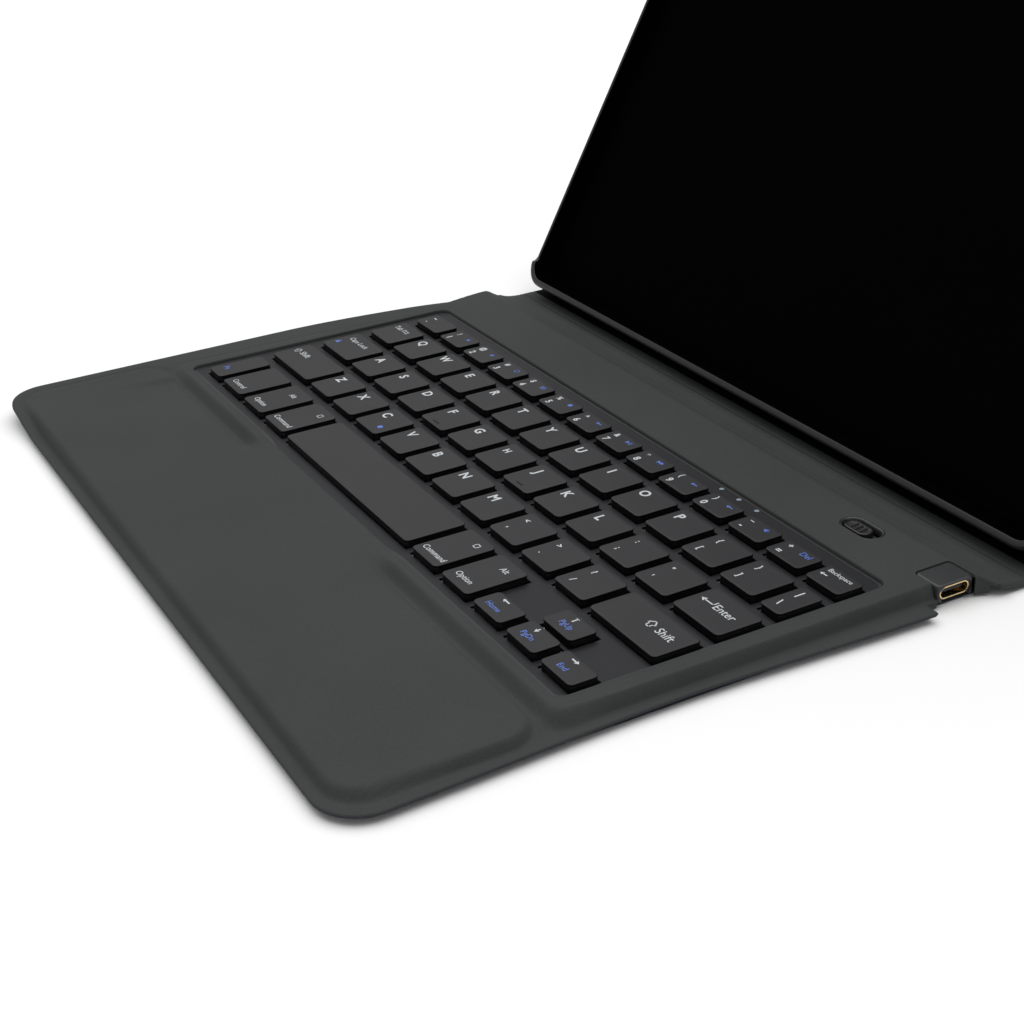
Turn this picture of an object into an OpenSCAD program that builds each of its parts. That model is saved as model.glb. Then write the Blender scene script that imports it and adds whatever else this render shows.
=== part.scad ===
// Tablet keyboard case: a stiff fabric-covered keyboard base, a flexible spine
// with two folds, and a tray that holds the tablet and leans on a kickstand.
// Frame: origin in the middle of the base's underside, +X along the key rows,
// +Y from the palm rest towards the tray, +Z up. Millimetres.

/* [Base] */
// Width of the base along the key rows
base_w = 254; // [250:1:260]
// Where the front edge of the base lies
base_front = -91; // [-95:1:-90]
// Radius of the two front corners
corner_r = 12; // [8:1:14]
// Height of the thin sewn border
border_top = 3.2; // [2.8:0.1:3.4]
// Height of the padded palm rest
palm_top = 4.9; // [4.6:0.1:5.2]
// Height of the rim round the keys
rim_top = 6.2; // [6.1:0.1:6.4]

/* [Keys] */
// Distance between letter keys along a row
key_pitch = 16.5; // [16.4:0.1:16.6]
// Distance between the letter rows
row_pitch = 17.2; // [17.1:0.1:17.3]
// Width of a letter key
key_w = 13.4; // [13:0.1:13.6]
// Depth of a letter key
key_d = 13.15; // [13:0.05:13.3]
// Height of the key tops
key_top = 7.2; // [7.1:0.1:7.6]

/* [Tray] */
// Width of the bay that the tablet sits in
bay_w = 248; // [246:1:249]
// Height of the bay, along the leaning tray
bay_h = 177; // [175:1:178]
// Thickness of the tablet that the tray takes
bay_t = 7.4; // [6:0.1:7.5]
// Lean of the tray, measured up from the table
tray_tilt = 60.7; // [58:0.1:62]

/* [Kickstand] */
// Length of the kickstand from its hinge to its foot
kick_len = 78; // [77:0.5:79]
// How far the kickstand is swung out
kick_open = 47.5; // [46:0.5:48]

/* [Hidden] */

$fn = 48;
gap = 0.3;             // clearance between bodies that move
e = 0.5;               // how far a cut runs past a face

// Base outline and its layers, from the table up
front_fold_y = 85.5;
rear_fold_y = 103.5;
fold_z = 0.9;
spine_top = 1.6;        // thickness of the flexible strip
base_back = front_fold_y - gap;
cover_back = base_back - (spine_top - fold_z); // clears the strip when it stands up
skin_t = 0.8;
board_top = 1.8;
fabric_t = 0.8;
fabric_side = 1;       // fabric outside the keyboard module
border_low = 1.7;      // underside of the border, which stands clear of the table
skin_inset = 4.5;      // from the edge of the border to the skin
board_inset = 6;       // from the edge of the border to the stiff board

// Keyboard module
case_x = 119;
case_front = -34.5;
case_back = 80;
case_floor = 2.3;
plate_top = 2.6;
membrane_top = 2.8;
deck_bottom = 4.4;
deck_top = 5.2;
recess_left = -116.5;
recess_right = 113.9;
recess_front = -32.5;
recess_back = 58.8;
recess_r = 3;

// Palm rest pad
palm_x = 121.5;
palm_front = -86;
palm_back = -40;

// Keys: the rows' centre lines, the first key of each row and the row ends
row_q_y = 34;
row_a_y = row_q_y - row_pitch;
row_z_y = row_q_y - 2 * row_pitch;
row_1_y = 48.5;
row_1_d = 8.3;
row_1_pitch = 16.09;
row_1_w = 13.1;
row_q_x = -86;
row_a_x = row_q_x + 5.4;
row_z_x = row_q_x + 13;
keys_left = -110;
keys_right = 112.8;
bottom_row = [-28.6, -11.3];
arrow_low = [-28.6, -20.9];
arrow_high = [-18.9, -11.3];
key_r = 1.2;
key_wall = 0.9;
key_bottom = 4.5;
key_roof = 6.2;
stem_bottom = 5;
stem_r = 1.2;
key_room = 0.5;        // clearance between a key and its hole in the deck
upper_row = [row_1_y - row_1_d / 2, row_1_y + row_1_d / 2];
q_row = [row_q_y - key_d / 2, row_q_y + key_d / 2];
a_row = [row_a_y - key_d / 2, row_a_y + key_d / 2];
z_row = [row_z_y - key_d / 2, row_z_y + key_d / 2];

// Single keys: each is [left, right, front, back]
grave = [keys_left, -95.5, upper_row[0], upper_row[1]];
backspace = [100.4, keys_right, upper_row[0], upper_row[1]];
tab = [keys_left, -95.8, q_row[0], q_row[1]];
backslash = [105.3, keys_right, q_row[0], q_row[1]];
caps_lock = [keys_left, -90.4, a_row[0], a_row[1]];
enter = [94.3, keys_right, a_row[0], a_row[1]];
left_shift = [keys_left, -82.8, z_row[0], z_row[1]];
right_shift = [85.3, keys_right, z_row[0], z_row[1]];
fn = [keys_left, -101, bottom_row[0], bottom_row[1]];
control = [-98, -83.7, bottom_row[0], bottom_row[1]];
left_option = [-80.6, -66.8, bottom_row[0], bottom_row[1]];
left_command = [-63.7, -50, bottom_row[0], bottom_row[1]];
space = [-46.8, 31.8, bottom_row[0], bottom_row[1]];
right_command = [35, 48, bottom_row[0], bottom_row[1]];
right_option = [51.2, 64.5, bottom_row[0], bottom_row[1]];
arrow_left = [67.7, 80.7, arrow_low[0], arrow_low[1]];
arrow_down = [83.8, 96.6, arrow_low[0], arrow_low[1]];
arrow_up = [83.8, 96.6, arrow_high[0], arrow_high[1]];
arrow_right = [99.7, keys_right, arrow_low[0], arrow_low[1]];

// Rows of equal keys: key number i of a row as [left, right, front, back]
function row_key(x, pitch, w, i, span) =
    [x + i * pitch - w / 2, x + i * pitch + w / 2, span[0], span[1]];
number_row = [for (i = [0:11]) row_key(row_q_x - 0.1, row_1_pitch, row_1_w, i, upper_row)];
top_letters = [for (i = [0:11]) row_key(row_q_x, key_pitch, key_w, i, q_row)];
home_letters = [for (i = [0:10]) row_key(row_a_x, key_pitch, key_w, i, a_row)];
lower_letters = [for (i = [0:9]) row_key(row_z_x, key_pitch, key_w, i, z_row)];
single_keys = [grave, backspace, tab, backslash, caps_lock, enter, left_shift, right_shift, fn,
    control, left_option, left_command, space, right_command, right_option, arrow_left,
    arrow_down, arrow_up, arrow_right];
all_keys = concat(number_row, top_letters, home_letters, lower_letters, single_keys);

// Switch, port and lights on the strip behind the keys
switch_x = 87.8;
switch_y = 72.1;
slot_l = 13;
slot_w = 6.8;
knob_l = 8.6;
knob_w = 4.6;
knob_x = switch_x - 1.3;
port_x = 122;
port_y = 73.1;
port_w = 11;
port_z = 3.6;
light_x = [48, 55.8, 63.7];
light_y = 57.2;

// Tray: x across, y up the leaning tray, z out of its face
tray_bottom = 0.9;
tray_back = 1.6;
tray_floor = 1.2;
wall = 1.4;
tray_w = bay_w + 2 * wall;
tray_h = bay_h + 2 * wall;
bay_z = tray_back + tray_floor;
rim_z = bay_z + bay_t + 0.9;
side_wall = bay_z + 6.6; // the walls between the corner clips
clip = 8;
lip = 0.8;
tray_r = 9;
lining_t = 0.4;
camera_x = -104;
camera_y = tray_bottom + tray_h - 18;
camera_r = 9;
hinge_y = 84;
hinge_z = 0.65;
leaf_z = 1;            // underside of the leaf that is fixed to the tray
leaf_w = 12;           // half the length of a hinge
leaf_d = 8;            // how far a leaf reaches from its pin
leaf_t = 0.5;
leaf_clear = 2.2;      // room round the pin for the other leaf
pin_r = 0.4;
lower_knuckle_r = 0.65;
upper_knuckle_r = 0.95;
leaf_x = [-80, 80];
knuckle = 7;
magnet_r = 3;
magnet_x = [-112, -60, 60, 112];
magnet_inset = 10;
magnet_t = 0.8;
kick_half = 0.65;      // half the thickness of the kickstand
kick_gap = 1.6;        // from the hinge line to the kickstand's fabric
kick_board_gap = 2.5;  // from the hinge line to its board
kick_magnet_t = 0.7;
kick_magnet_y = -kick_len + 8;

// A rectangle with round corners, given by its four sides
module round_rect(left, right, front, back, r) {
    translate([left + r, front]) square([right - left - 2 * r, back - front]);
    translate([left, front + r]) square([right - left, back - front - 2 * r]);
    for (x = [left + r, right - r], y = [front + r, back - r]) translate([x, y]) circle(r);
}

// A slab between two heights over a flat outline
module slab(low, high) {
    translate([0, 0, low]) linear_extrude(high - low) children();
}

// A box between two heights, given by its four sides
module block(left, right, front, back, low, high) {
    translate([left, front, low]) cube([right - left, back - front, high - low]);
}

// The base seen from above: large front corners and a notch at the port
module base_outline(inset = 0) {
    side = base_w / 2 - inset;
    front = base_front + inset;
    r = corner_r - inset;
    difference() {
        union() {
            translate([-side + r, front]) square([2 * (side - r), 40]);
            translate([-side, front + r]) square([2 * side, base_back - inset - front - r]);
            for (x = [-1, 1]) translate([x * (side - r), front + r]) circle(r);
        }
        translate([port_x - inset, 64 - inset]) square([10, 40]);
    }
}

module recess_outline() {
    round_rect(recess_left, recess_right, recess_front, recess_back, recess_r);
}

// The slot of the power switch, made wider by a margin all round
module switch_slot(margin = 0) {
    r = slot_w / 2 + margin;
    half = (slot_l - slot_w) / 2;
    for (x = [-half, half]) translate([switch_x + x, switch_y]) circle(r);
    translate([switch_x - half, switch_y - r]) square([2 * half, 2 * r]);
}

// One hollow key cap with a stem that presses the dome under it
module key_cap(k) {
    difference() {
        slab(key_bottom, key_top) round_rect(k[0], k[1], k[2], k[3], key_r);
        block(k[0] + key_wall, k[1] - key_wall, k[2] + key_wall, k[3] - key_wall, key_bottom - e, key_roof);
    }
    translate([(k[0] + k[1]) / 2, (k[2] + k[3]) / 2, stem_bottom])
        cylinder(h = key_roof - stem_bottom, r = stem_r);
}

// Puts a child on the leaning tray, whose own frame starts at the rear fold
module on_tray() {
    translate([0, rear_fold_y, fold_z]) rotate([tray_tilt, 0, 0]) children();
}

// Puts a child on the kickstand, whose own frame starts at its hinge
module on_kickstand() {
    on_tray() translate([0, hinge_y, hinge_z]) rotate([kick_open, 0, 0]) children();
}

module base_bottom_skin() {
    color("#303236") slab(0, skin_t) base_outline(skin_inset);
}

module base_board() {
    color("dimgray") difference() {
        slab(skin_t, board_top) base_outline(board_inset);
        for (x = magnet_x)
            translate([x, base_front + magnet_inset, skin_t - e]) cylinder(h = 3, r = magnet_r + 0.1);
    }
}

module palm_foam() {
    color("gray") slab(board_top, palm_top - fabric_t)
        round_rect(-palm_x + 1, palm_x - 1, palm_front + 1, palm_back - 1, 4);
}

module base_top_fabric() {
    color("#434646") difference() {
        union() {
            slab(border_low, border_top) base_outline();
            slab(skin_t, border_low) base_outline(skin_inset);
            slab(skin_t, palm_top) round_rect(-palm_x, palm_x, palm_front, palm_back, 5);
            slab(skin_t, rim_top) intersection() {
                base_outline(skin_inset);
                round_rect(-case_x - fabric_side, case_x + fabric_side, case_front - fabric_side,
                    base_back, 1);
            }
        }
        block(-base_w, base_w, cover_back, base_back + e, skin_t - e, rim_top + e);
        slab(skin_t - e, board_top) base_outline(board_inset);
        slab(board_top - e, palm_top - fabric_t)
            round_rect(-palm_x + 1, palm_x - 1, palm_front + 1, palm_back - 1, 4);
        block(-case_x, case_x, case_front, case_back, board_top - e, deck_top);
        slab(deck_top - e, rim_top + e) recess_outline();
        slab(deck_top - e, rim_top + e) switch_slot(0.3);
        block(port_x - 9.5, port_x + 10, port_y - 6, port_y + 6, board_top - e, rim_top + e);
    }
}

module keyboard_bottom_case() {
    color("#202225") difference() {
        block(-case_x, case_x, case_front, case_back, board_top, deck_bottom);
        block(-case_x + 1, case_x - 1, case_front + 1, case_back - 1, case_floor, deck_bottom + e);
        block(port_x - 9.5, port_x, port_y - 6, port_y + 6, board_top - e, deck_bottom + e);
    }
}

module key_support_plate() {
    color("silver") block(-115, 115, -31, 59, case_floor, plate_top);
}

module membrane_sheet() {
    color("white") block(-115, 115, -31, 59, plate_top, membrane_top);
}

module rubber_domes() {
    color("gainsboro") for (k = all_keys)
        translate([(k[0] + k[1]) / 2, (k[2] + k[3]) / 2, membrane_top])
            cylinder(h = stem_bottom - membrane_top, r = 1.5);
}

module scissor_links() {
    color("whitesmoke") for (k = all_keys, side = [-1, 1])
        translate([(k[0] + k[1]) / 2 + side * min(3, (k[1] - k[0]) / 2 - 1.6), (k[2] + k[3]) / 2,
            (membrane_top + key_bottom) / 2])
            cube([0.8, min(k[3] - k[2] - 3, 8), key_bottom - membrane_top - 0.4], center = true);
}

module keyboard_deck() {
    color("#33353a") difference() {
        block(-case_x, case_x, case_front, case_back, deck_bottom, deck_top);
        for (k = all_keys)
            block(k[0] - key_room, k[1] + key_room, k[2] - key_room, k[3] + key_room,
                deck_bottom - e, deck_top + e);
        slab(deck_bottom - e, deck_top + e) switch_slot(0.3);
        for (x = light_x) translate([x, light_y, deck_bottom - e]) cylinder(h = 2, r = 0.8);
        block(port_x - 9.5, port_x, port_y - 6, port_y + 6, deck_bottom - e, deck_top + e);
    }
}

module circuit_board() {
    color("darkgreen") block(44, 111, 64, 78.5, case_floor, 3.1);
}

module battery_cell() {
    color("gold") block(-70, 20, 64, 76.5, case_floor, 4.2);
}

// The metal shell of the charging socket: an oval tube that opens to the side
module usb_socket() {
    color("gold") translate([port_x - 7, port_y, port_z]) rotate([90, 0, 90]) difference() {
        linear_extrude(6) socket_outline(0);
        translate([0, 0, 0.6]) linear_extrude(6) socket_outline(0.3);
    }
}

module socket_outline(inset) {
    r = 1.6 - inset;
    for (x = [-2.87, 2.87]) translate([x, 0]) circle(r);
    translate([-2.87, -r]) square([5.74, 2 * r]);
}

module usb_tongue() {
    color("black") block(port_x - 6.4, port_x - 2, port_y - 3.2, port_y + 3.2, port_z - 0.35, port_z + 0.35);
}

// Moulded block round the socket, set into the notch of the base
module port_surround() {
    color("#2c2e31") difference() {
        block(port_x - 9.2, port_x - 0.3, port_y - 5.6, port_y + 5.6, board_top, rim_top - 0.2);
        translate([port_x - 7.2, port_y, port_z]) rotate([90, 0, 90]) linear_extrude(8) socket_outline(-0.05);
    }
}

module switch_bezel() {
    color("#26282b") difference() {
        slab(deck_bottom, rim_top + 0.1) switch_slot(0.2);
        slab(deck_bottom - e, rim_top + 1) switch_slot(-0.6);
    }
}

module power_switch_body() {
    color("black") block(switch_x - 6, switch_x + 6, switch_y - 2.4, switch_y + 2.4, 3.1, 4.1);
}

// Ribbed slider of the power switch
module power_switch_knob() {
    color("#1a1b1d") difference() {
        slab(4.4, rim_top - 0.1) round_rect(knob_x - knob_l / 2, knob_x + knob_l / 2,
            switch_y - knob_w / 2, switch_y + knob_w / 2, 2.2);
        for (i = [-1:1]) block(knob_x + i * 1.7 - 0.4, knob_x + i * 1.7 + 0.4,
            switch_y - 1.9, switch_y + 1.9, rim_top - 0.6, rim_top + 1);
    }
}

module status_lights() {
    color("lightblue") for (x = light_x)
        translate([x, light_y, deck_bottom - 1.2]) cylinder(h = 1.9, r = 0.7);
}

module case_screws() {
    front_row = [for (x = [-117, -40, 40, 117]) [x, case_front + 1.9]];
    back_row = [for (x = [-117, -40, 40]) [x, case_back - 2]];
    color("silver") for (p = concat(front_row, back_row))
        translate([p[0], p[1], case_floor]) cylinder(h = deck_bottom - case_floor, r = 0.8);
}

module closing_magnets() {
    color("silver") for (x = magnet_x)
        translate([x, base_front + magnet_inset, skin_t]) cylinder(h = 1, r = magnet_r);
}

module number_keys() {
    color("#26272b") for (k = number_row) key_cap(k);
}

module top_letter_keys() {
    color("#26272b") for (k = top_letters) key_cap(k);
}

module home_letter_keys() {
    color("#26272b") for (k = home_letters) key_cap(k);
}

module lower_letter_keys() {
    color("#26272b") for (k = lower_letters) key_cap(k);
}

module grave_key() { color("#26272b") key_cap(grave); }
module backspace_key() { color("#26272b") key_cap(backspace); }
module tab_key() { color("#26272b") key_cap(tab); }
module backslash_key() { color("#26272b") key_cap(backslash); }
module caps_lock_key() { color("#26272b") key_cap(caps_lock); }
module enter_key() { color("#26272b") key_cap(enter); }
module left_shift_key() { color("#26272b") key_cap(left_shift); }
module right_shift_key() { color("#26272b") key_cap(right_shift); }
module fn_key() { color("#26272b") key_cap(fn); }
module control_key() { color("#26272b") key_cap(control); }
module left_option_key() { color("#26272b") key_cap(left_option); }
module left_command_key() { color("#26272b") key_cap(left_command); }
module space_bar() { color("#26272b") key_cap(space); }
module right_command_key() { color("#26272b") key_cap(right_command); }
module right_option_key() { color("#26272b") key_cap(right_option); }
module arrow_left_key() { color("#26272b") key_cap(arrow_left); }
module arrow_down_key() { color("#26272b") key_cap(arrow_down); }
module arrow_up_key() { color("#26272b") key_cap(arrow_up); }
module arrow_right_key() { color("#26272b") key_cap(arrow_right); }

// The flexible strip between the base and the tray, folded round its own board
module spine_fabric() {
    color("#434646") difference() {
        block(-tray_w / 2, tray_w / 2, front_fold_y + gap, rear_fold_y - gap, 0, spine_top);
        spine_core();
    }
}

module spine_board() {
    color("dimgray") spine_core();
}

module spine_core() {
    block(-tray_w / 2 + 4, tray_w / 2 - 4, front_fold_y + 2.5, rear_fold_y - 2.5, 0.5, 1.1);
}

module tray_plan(inset = 0) {
    round_rect(-tray_w / 2 + inset, tray_w / 2 - inset, tray_bottom + inset, tray_bottom + tray_h - inset,
        tray_r - inset);
}

// Hard shell: a floor, three walls, and a full lower wall and four corner clips with a lip
module tray_shell() {
    color("#232427") on_tray() difference() {
        slab(tray_back, rim_z) tray_plan();
        slab(bay_z, rim_z - 0.7) tray_plan(wall);
        slab(bay_z, rim_z + e) tray_plan(wall + lip);
        block(-tray_w / 2 - e, tray_w / 2 + e, tray_bottom + clip, tray_bottom + tray_h - clip,
            side_wall, rim_z + e);
        block(-tray_w / 2 + clip, tray_w / 2 - clip, tray_bottom + tray_h - clip - e,
            tray_bottom + tray_h + e, side_wall, rim_z + e);
        translate([camera_x, camera_y, -e]) cylinder(h = 10, r = camera_r);
        tray_magnet_row();
    }
}

module tray_magnet_row() {
    for (x = magnet_x)
        translate([x, hinge_y + kick_magnet_y, tray_back + 0.2]) cylinder(h = magnet_t, r = magnet_r);
}

module tray_lining() {
    color("black") on_tray() difference() {
        slab(bay_z, bay_z + lining_t) tray_plan(wall + 3);
        translate([camera_x, camera_y, -e]) cylinder(h = 10, r = camera_r + 1);
    }
}

// Fabric-covered panel on the upper half of the tray's back
module back_cover() {
    color("#434646") on_tray() difference() {
        slab(0, tray_back)
            round_rect(-tray_w / 2 + 1, tray_w / 2 - 1, hinge_y + leaf_clear, tray_bottom + tray_h - 1, 2);
        translate([camera_x, camera_y, -e]) cylinder(h = 10, r = camera_r);
        for (x = leaf_x) block(x - leaf_w, x + leaf_w, hinge_y, hinge_y + leaf_d, leaf_z, tray_back + e);
    }
}

// The leaf of each kickstand hinge that is fixed to the tray, with its middle knuckle
module hinge_leaf_upper() {
    color("silver") on_tray() for (x = leaf_x) difference() {
        union() {
            block(x - leaf_w, x + leaf_w, hinge_y + 1, hinge_y + leaf_d, leaf_z, tray_back);
            block(x - knuckle / 2, x + knuckle / 2, hinge_y, hinge_y + 1.5, leaf_z, tray_back);
            translate([x - knuckle / 2, hinge_y, hinge_z]) rotate([0, 90, 0])
                cylinder(h = knuckle, r = upper_knuckle_r);
        }
        translate([x - leaf_w, hinge_y, hinge_z]) rotate([0, 90, 0])
            cylinder(h = 2 * leaf_w, r = pin_r + 0.05);
    }
}

// The leaf that is fixed to the kickstand, with a knuckle on each side of the tray's
module hinge_leaf_lower() {
    color("silver") on_kickstand() for (x = leaf_x) difference() {
        union() {
            block(x - leaf_w, x + leaf_w, -leaf_d, -leaf_clear, -leaf_t / 2, leaf_t / 2);
            for (side = [-1, 1]) translate([x + side * (knuckle + gap), 0, 0]) {
                rotate([0, 90, 0]) cylinder(h = knuckle, r = lower_knuckle_r, center = true);
                block(-knuckle / 2, knuckle / 2, -3, 0, -leaf_t / 2, leaf_t / 2);
            }
        }
        translate([x - leaf_w, 0, 0]) rotate([0, 90, 0]) cylinder(h = 2 * leaf_w, r = pin_r);
    }
}

module hinge_pin() {
    color("silver") on_kickstand() for (x = leaf_x)
        translate([x, 0, 0]) rotate([0, 90, 0]) cylinder(h = 3 * knuckle + 1, r = pin_r, center = true);
}

module kickstand_board() {
    color("dimgray") on_kickstand() difference() {
        kickstand_core();
        for (x = leaf_x) block(x - leaf_w - 0.1, x + leaf_w + 0.1, -leaf_d - 0.1, 0, -e, e);
        for (x = magnet_x) translate([x, kick_magnet_y, -1]) cylinder(h = 2, r = magnet_r + 0.1);
    }
}

module kickstand_core() {
    block(-tray_w / 2 + 3, tray_w / 2 - 3, -kick_len + 3, -kick_board_gap, -leaf_t / 2, leaf_t / 2);
}

module kickstand_fabric() {
    color("#434646") on_kickstand() difference() {
        slab(-kick_half, kick_half) round_rect(-tray_w / 2 + 1, tray_w / 2 - 1, -kick_len, -kick_gap, 1.5);
        kickstand_core();
        for (x = leaf_x) {
            block(x - leaf_w, x + leaf_w, -leaf_d, 0, -leaf_t / 2, leaf_t / 2);
            block(x - leaf_w, x + leaf_w, -leaf_clear, 0, -1, 1);
        }
        kickstand_magnet_row();
    }
}

module kickstand_magnet_row() {
    for (x = magnet_x)
        translate([x, kick_magnet_y, -kick_magnet_t / 2]) cylinder(h = kick_magnet_t, r = magnet_r);
}

module tray_magnets() {
    color("silver") on_tray() tray_magnet_row();
}

module kickstand_magnets() {
    color("silver") on_kickstand() kickstand_magnet_row();
}

// Fabric hem that joins the spine to the lower edge of the tray's back
module tray_hem() {
    color("#434646") on_tray()
        block(-tray_w / 2 + 1, tray_w / 2 - 1, 1, hinge_y - kick_len - gap, 0, tray_back);
}

base_bottom_skin();
base_board();
palm_foam();
base_top_fabric();
keyboard_bottom_case();
key_support_plate();
membrane_sheet();
rubber_domes();
scissor_links();
keyboard_deck();
circuit_board();
battery_cell();
usb_socket();
usb_tongue();
port_surround();
switch_bezel();
power_switch_body();
power_switch_knob();
status_lights();
case_screws();
closing_magnets();
number_keys();
top_letter_keys();
home_letter_keys();
lower_letter_keys();
grave_key();
backspace_key();
tab_key();
backslash_key();
caps_lock_key();
enter_key();
left_shift_key();
right_shift_key();
fn_key();
control_key();
left_option_key();
left_command_key();
space_bar();
right_command_key();
right_option_key();
arrow_left_key();
arrow_down_key();
arrow_up_key();
arrow_right_key();
spine_fabric();
spine_board();
tray_shell();
tray_lining();
back_cover();
hinge_leaf_upper();
hinge_leaf_lower();
hinge_pin();
kickstand_board();
kickstand_fabric();
tray_magnets();
kickstand_magnets();
tray_hem();
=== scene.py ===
"""Looks of the tablet keyboard case: fabric covers, keys with legends, tray, kickstand and studio."""

import logging
import math
from collections.abc import Callable
from dataclasses import dataclass, field
from enum import Enum

import bmesh
import bpy
import numpy as np
from mathutils import Matrix, Vector


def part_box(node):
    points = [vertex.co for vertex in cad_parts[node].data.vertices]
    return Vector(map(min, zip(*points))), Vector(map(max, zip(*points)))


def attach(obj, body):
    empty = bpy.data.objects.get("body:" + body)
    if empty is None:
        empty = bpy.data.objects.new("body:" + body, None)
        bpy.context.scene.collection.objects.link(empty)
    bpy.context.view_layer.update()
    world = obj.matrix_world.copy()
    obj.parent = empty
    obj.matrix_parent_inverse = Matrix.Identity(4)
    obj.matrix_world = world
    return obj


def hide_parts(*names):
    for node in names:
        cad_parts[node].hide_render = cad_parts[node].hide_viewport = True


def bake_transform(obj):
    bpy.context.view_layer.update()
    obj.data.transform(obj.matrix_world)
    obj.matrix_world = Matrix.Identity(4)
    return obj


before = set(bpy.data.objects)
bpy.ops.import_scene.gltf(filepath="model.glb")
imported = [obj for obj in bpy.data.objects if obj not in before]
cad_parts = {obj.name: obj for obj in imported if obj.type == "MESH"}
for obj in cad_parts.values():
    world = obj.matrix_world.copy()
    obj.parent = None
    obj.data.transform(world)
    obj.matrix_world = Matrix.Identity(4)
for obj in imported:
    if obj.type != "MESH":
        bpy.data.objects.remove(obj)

LOG = logging.getLogger("tablet_case")
MM = 0.001
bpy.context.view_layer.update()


# ---------------------------------------------------------------- surfaces


@dataclass
class Surface:
    """A mesh as plain arrays.

    Args:
        points: Vertex positions in millimetres, one row each.
        faces: Lists of vertex numbers, counter-clockwise seen from outside.
    """

    points: np.ndarray
    faces: list

    def mapped(self, mapping: Callable[[np.ndarray], np.ndarray]) -> "Surface":
        """Returns a copy with every point put through mapping, an array function."""
        return Surface(mapping(self.points), self.faces)


def joined(parts: list) -> Surface:
    """Puts several surfaces into one.

    Args:
        parts: The surfaces.

    Returns:
        One surface that holds them all, each still its own shell.
    """
    points, faces, start = [], [], 0
    for part in parts:
        points.append(part.points)
        faces += [[start + i for i in face] for face in part.faces]
        start += len(part.points)
    return Surface(np.concatenate(points), faces)


def loft(rings: np.ndarray, cap_start: bool = True, cap_end: bool = True) -> Surface:
    """Skins a stack of closed rings: quads join ring i to ring i + 1 point by point.

    Args:
        rings: Array of shape (rings, points, 3). Rings run counter-clockwise seen from
            the side that the stack starts on.
        cap_start: Whether the first ring is closed by one flat face.
        cap_end: Whether the last ring is closed by one flat face.

    Returns:
        The skinned surface.
    """
    count, size = rings.shape[:2]
    row, col = np.meshgrid(np.arange(count - 1), np.arange(size), indexing="ij")
    here, after = row * size + col, row * size + (col + 1) % size
    quads = np.stack([here, here + size, after + size, after], -1).reshape(-1, 4)
    faces = quads.tolist()
    if cap_start:
        faces.append(list(range(size)))
    if cap_end:
        faces.append([(count - 1) * size + i for i in range(size)][::-1])
    return Surface(rings.reshape(-1, 3), faces)


def closed_band(rings: np.ndarray) -> Surface:
    """Skins a stack of closed rings and joins the last one to the first, as round a gasket.

    Args:
        rings: Array of shape (rings, points, 3), as loft() takes them.

    Returns:
        The closed surface.
    """
    band = loft(rings, False, False)
    count, size = rings.shape[:2]
    last = (count - 1) * size
    band.faces += [[last + i, i, (i + 1) % size, last + (i + 1) % size] for i in range(size)]
    return band


def sheet_grid(points: np.ndarray) -> Surface:
    """Skins an open grid of points with quads.

    Args:
        points: Array of shape (rows, columns, 3). Rows run along +Y and columns along +X
            for a surface that faces up.

    Returns:
        The skinned surface.
    """
    rows, cols = points.shape[:2]
    r, c = np.meshgrid(np.arange(rows - 1), np.arange(cols - 1), indexing="ij")
    a = r * cols + c
    quads = np.stack([a, a + 1, a + cols + 1, a + cols], -1).reshape(-1, 4)
    return Surface(points.reshape(-1, 3), quads.tolist())


def smoothstep(edge0: float, edge1: float, value: np.ndarray) -> np.ndarray:
    """Rises smoothly from 0 at edge0 to 1 at edge1: t squared times (3 - 2t)."""
    t = np.clip((value - edge0) / (edge1 - edge0), 0.0, 1.0)
    return t * t * (3.0 - 2.0 * t)


@dataclass(frozen=True)
class Rect:
    """A rectangle with round corners in a plane, in millimetres."""

    left: float
    right: float
    front: float
    back: float
    radius: float = 1.0
    rear_radius: float | None = None

    def inset(self, d: float) -> "Rect":
        """Returns the rectangle whose outline lies d further in."""
        rear = self.radius if self.rear_radius is None else self.rear_radius
        return Rect(self.left + d, self.right - d, self.front + d, self.back - d,
                    max(self.radius - d, 0.05), max(rear - d, 0.05))

    def outline(self, arc: int = 6, long_side: int = 1, short_side: int = 1) -> np.ndarray:
        """Points of the outline, counter-clockwise from the front left corner.

        Each corner is a quarter circle, and each side is cut into equal steps.

        Args:
            arc: Steps in each corner.
            long_side: Steps along the front and along the back.
            short_side: Steps along the right and along the left.

        Returns:
            Array of shape (points, 2).
        """
        rear = self.radius if self.rear_radius is None else self.rear_radius
        corners = ((self.left, self.front, self.radius, 180), (self.right, self.front, self.radius, 270),
                   (self.right, self.back, rear, 0), (self.left, self.back, rear, 90))
        steps = (long_side, short_side, long_side, short_side)
        pieces = []
        for x, y, r, turn in corners:
            angle = np.radians(turn + np.linspace(0.0, 90.0, arc + 1))
            centre = (x + (r if x == self.left else -r), y + (r if y == self.front else -r))
            pieces.append(np.stack([centre[0] + r * np.cos(angle), centre[1] + r * np.sin(angle)], -1))
        out = []
        for i, count in enumerate(steps):
            out.append(pieces[i])
            begin, finish = pieces[i][-1], pieces[(i + 1) % 4][0]
            t = np.linspace(0.0, 1.0, count + 1)[1:-1, None]
            out.append(begin + (finish - begin) * t)
        return np.concatenate(out)

    def distance(self, x: np.ndarray, y: np.ndarray) -> np.ndarray:
        """Signed distance to the outline, negative inside."""
        cx, cy = (self.left + self.right) / 2, (self.front + self.back) / 2
        qx = np.abs(x - cx) - ((self.right - self.left) / 2 - self.radius)
        qy = np.abs(y - cy) - ((self.back - self.front) / 2 - self.radius)
        outside = np.hypot(np.maximum(qx, 0), np.maximum(qy, 0))
        return outside + np.minimum(np.maximum(qx, qy), 0) - self.radius


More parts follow.
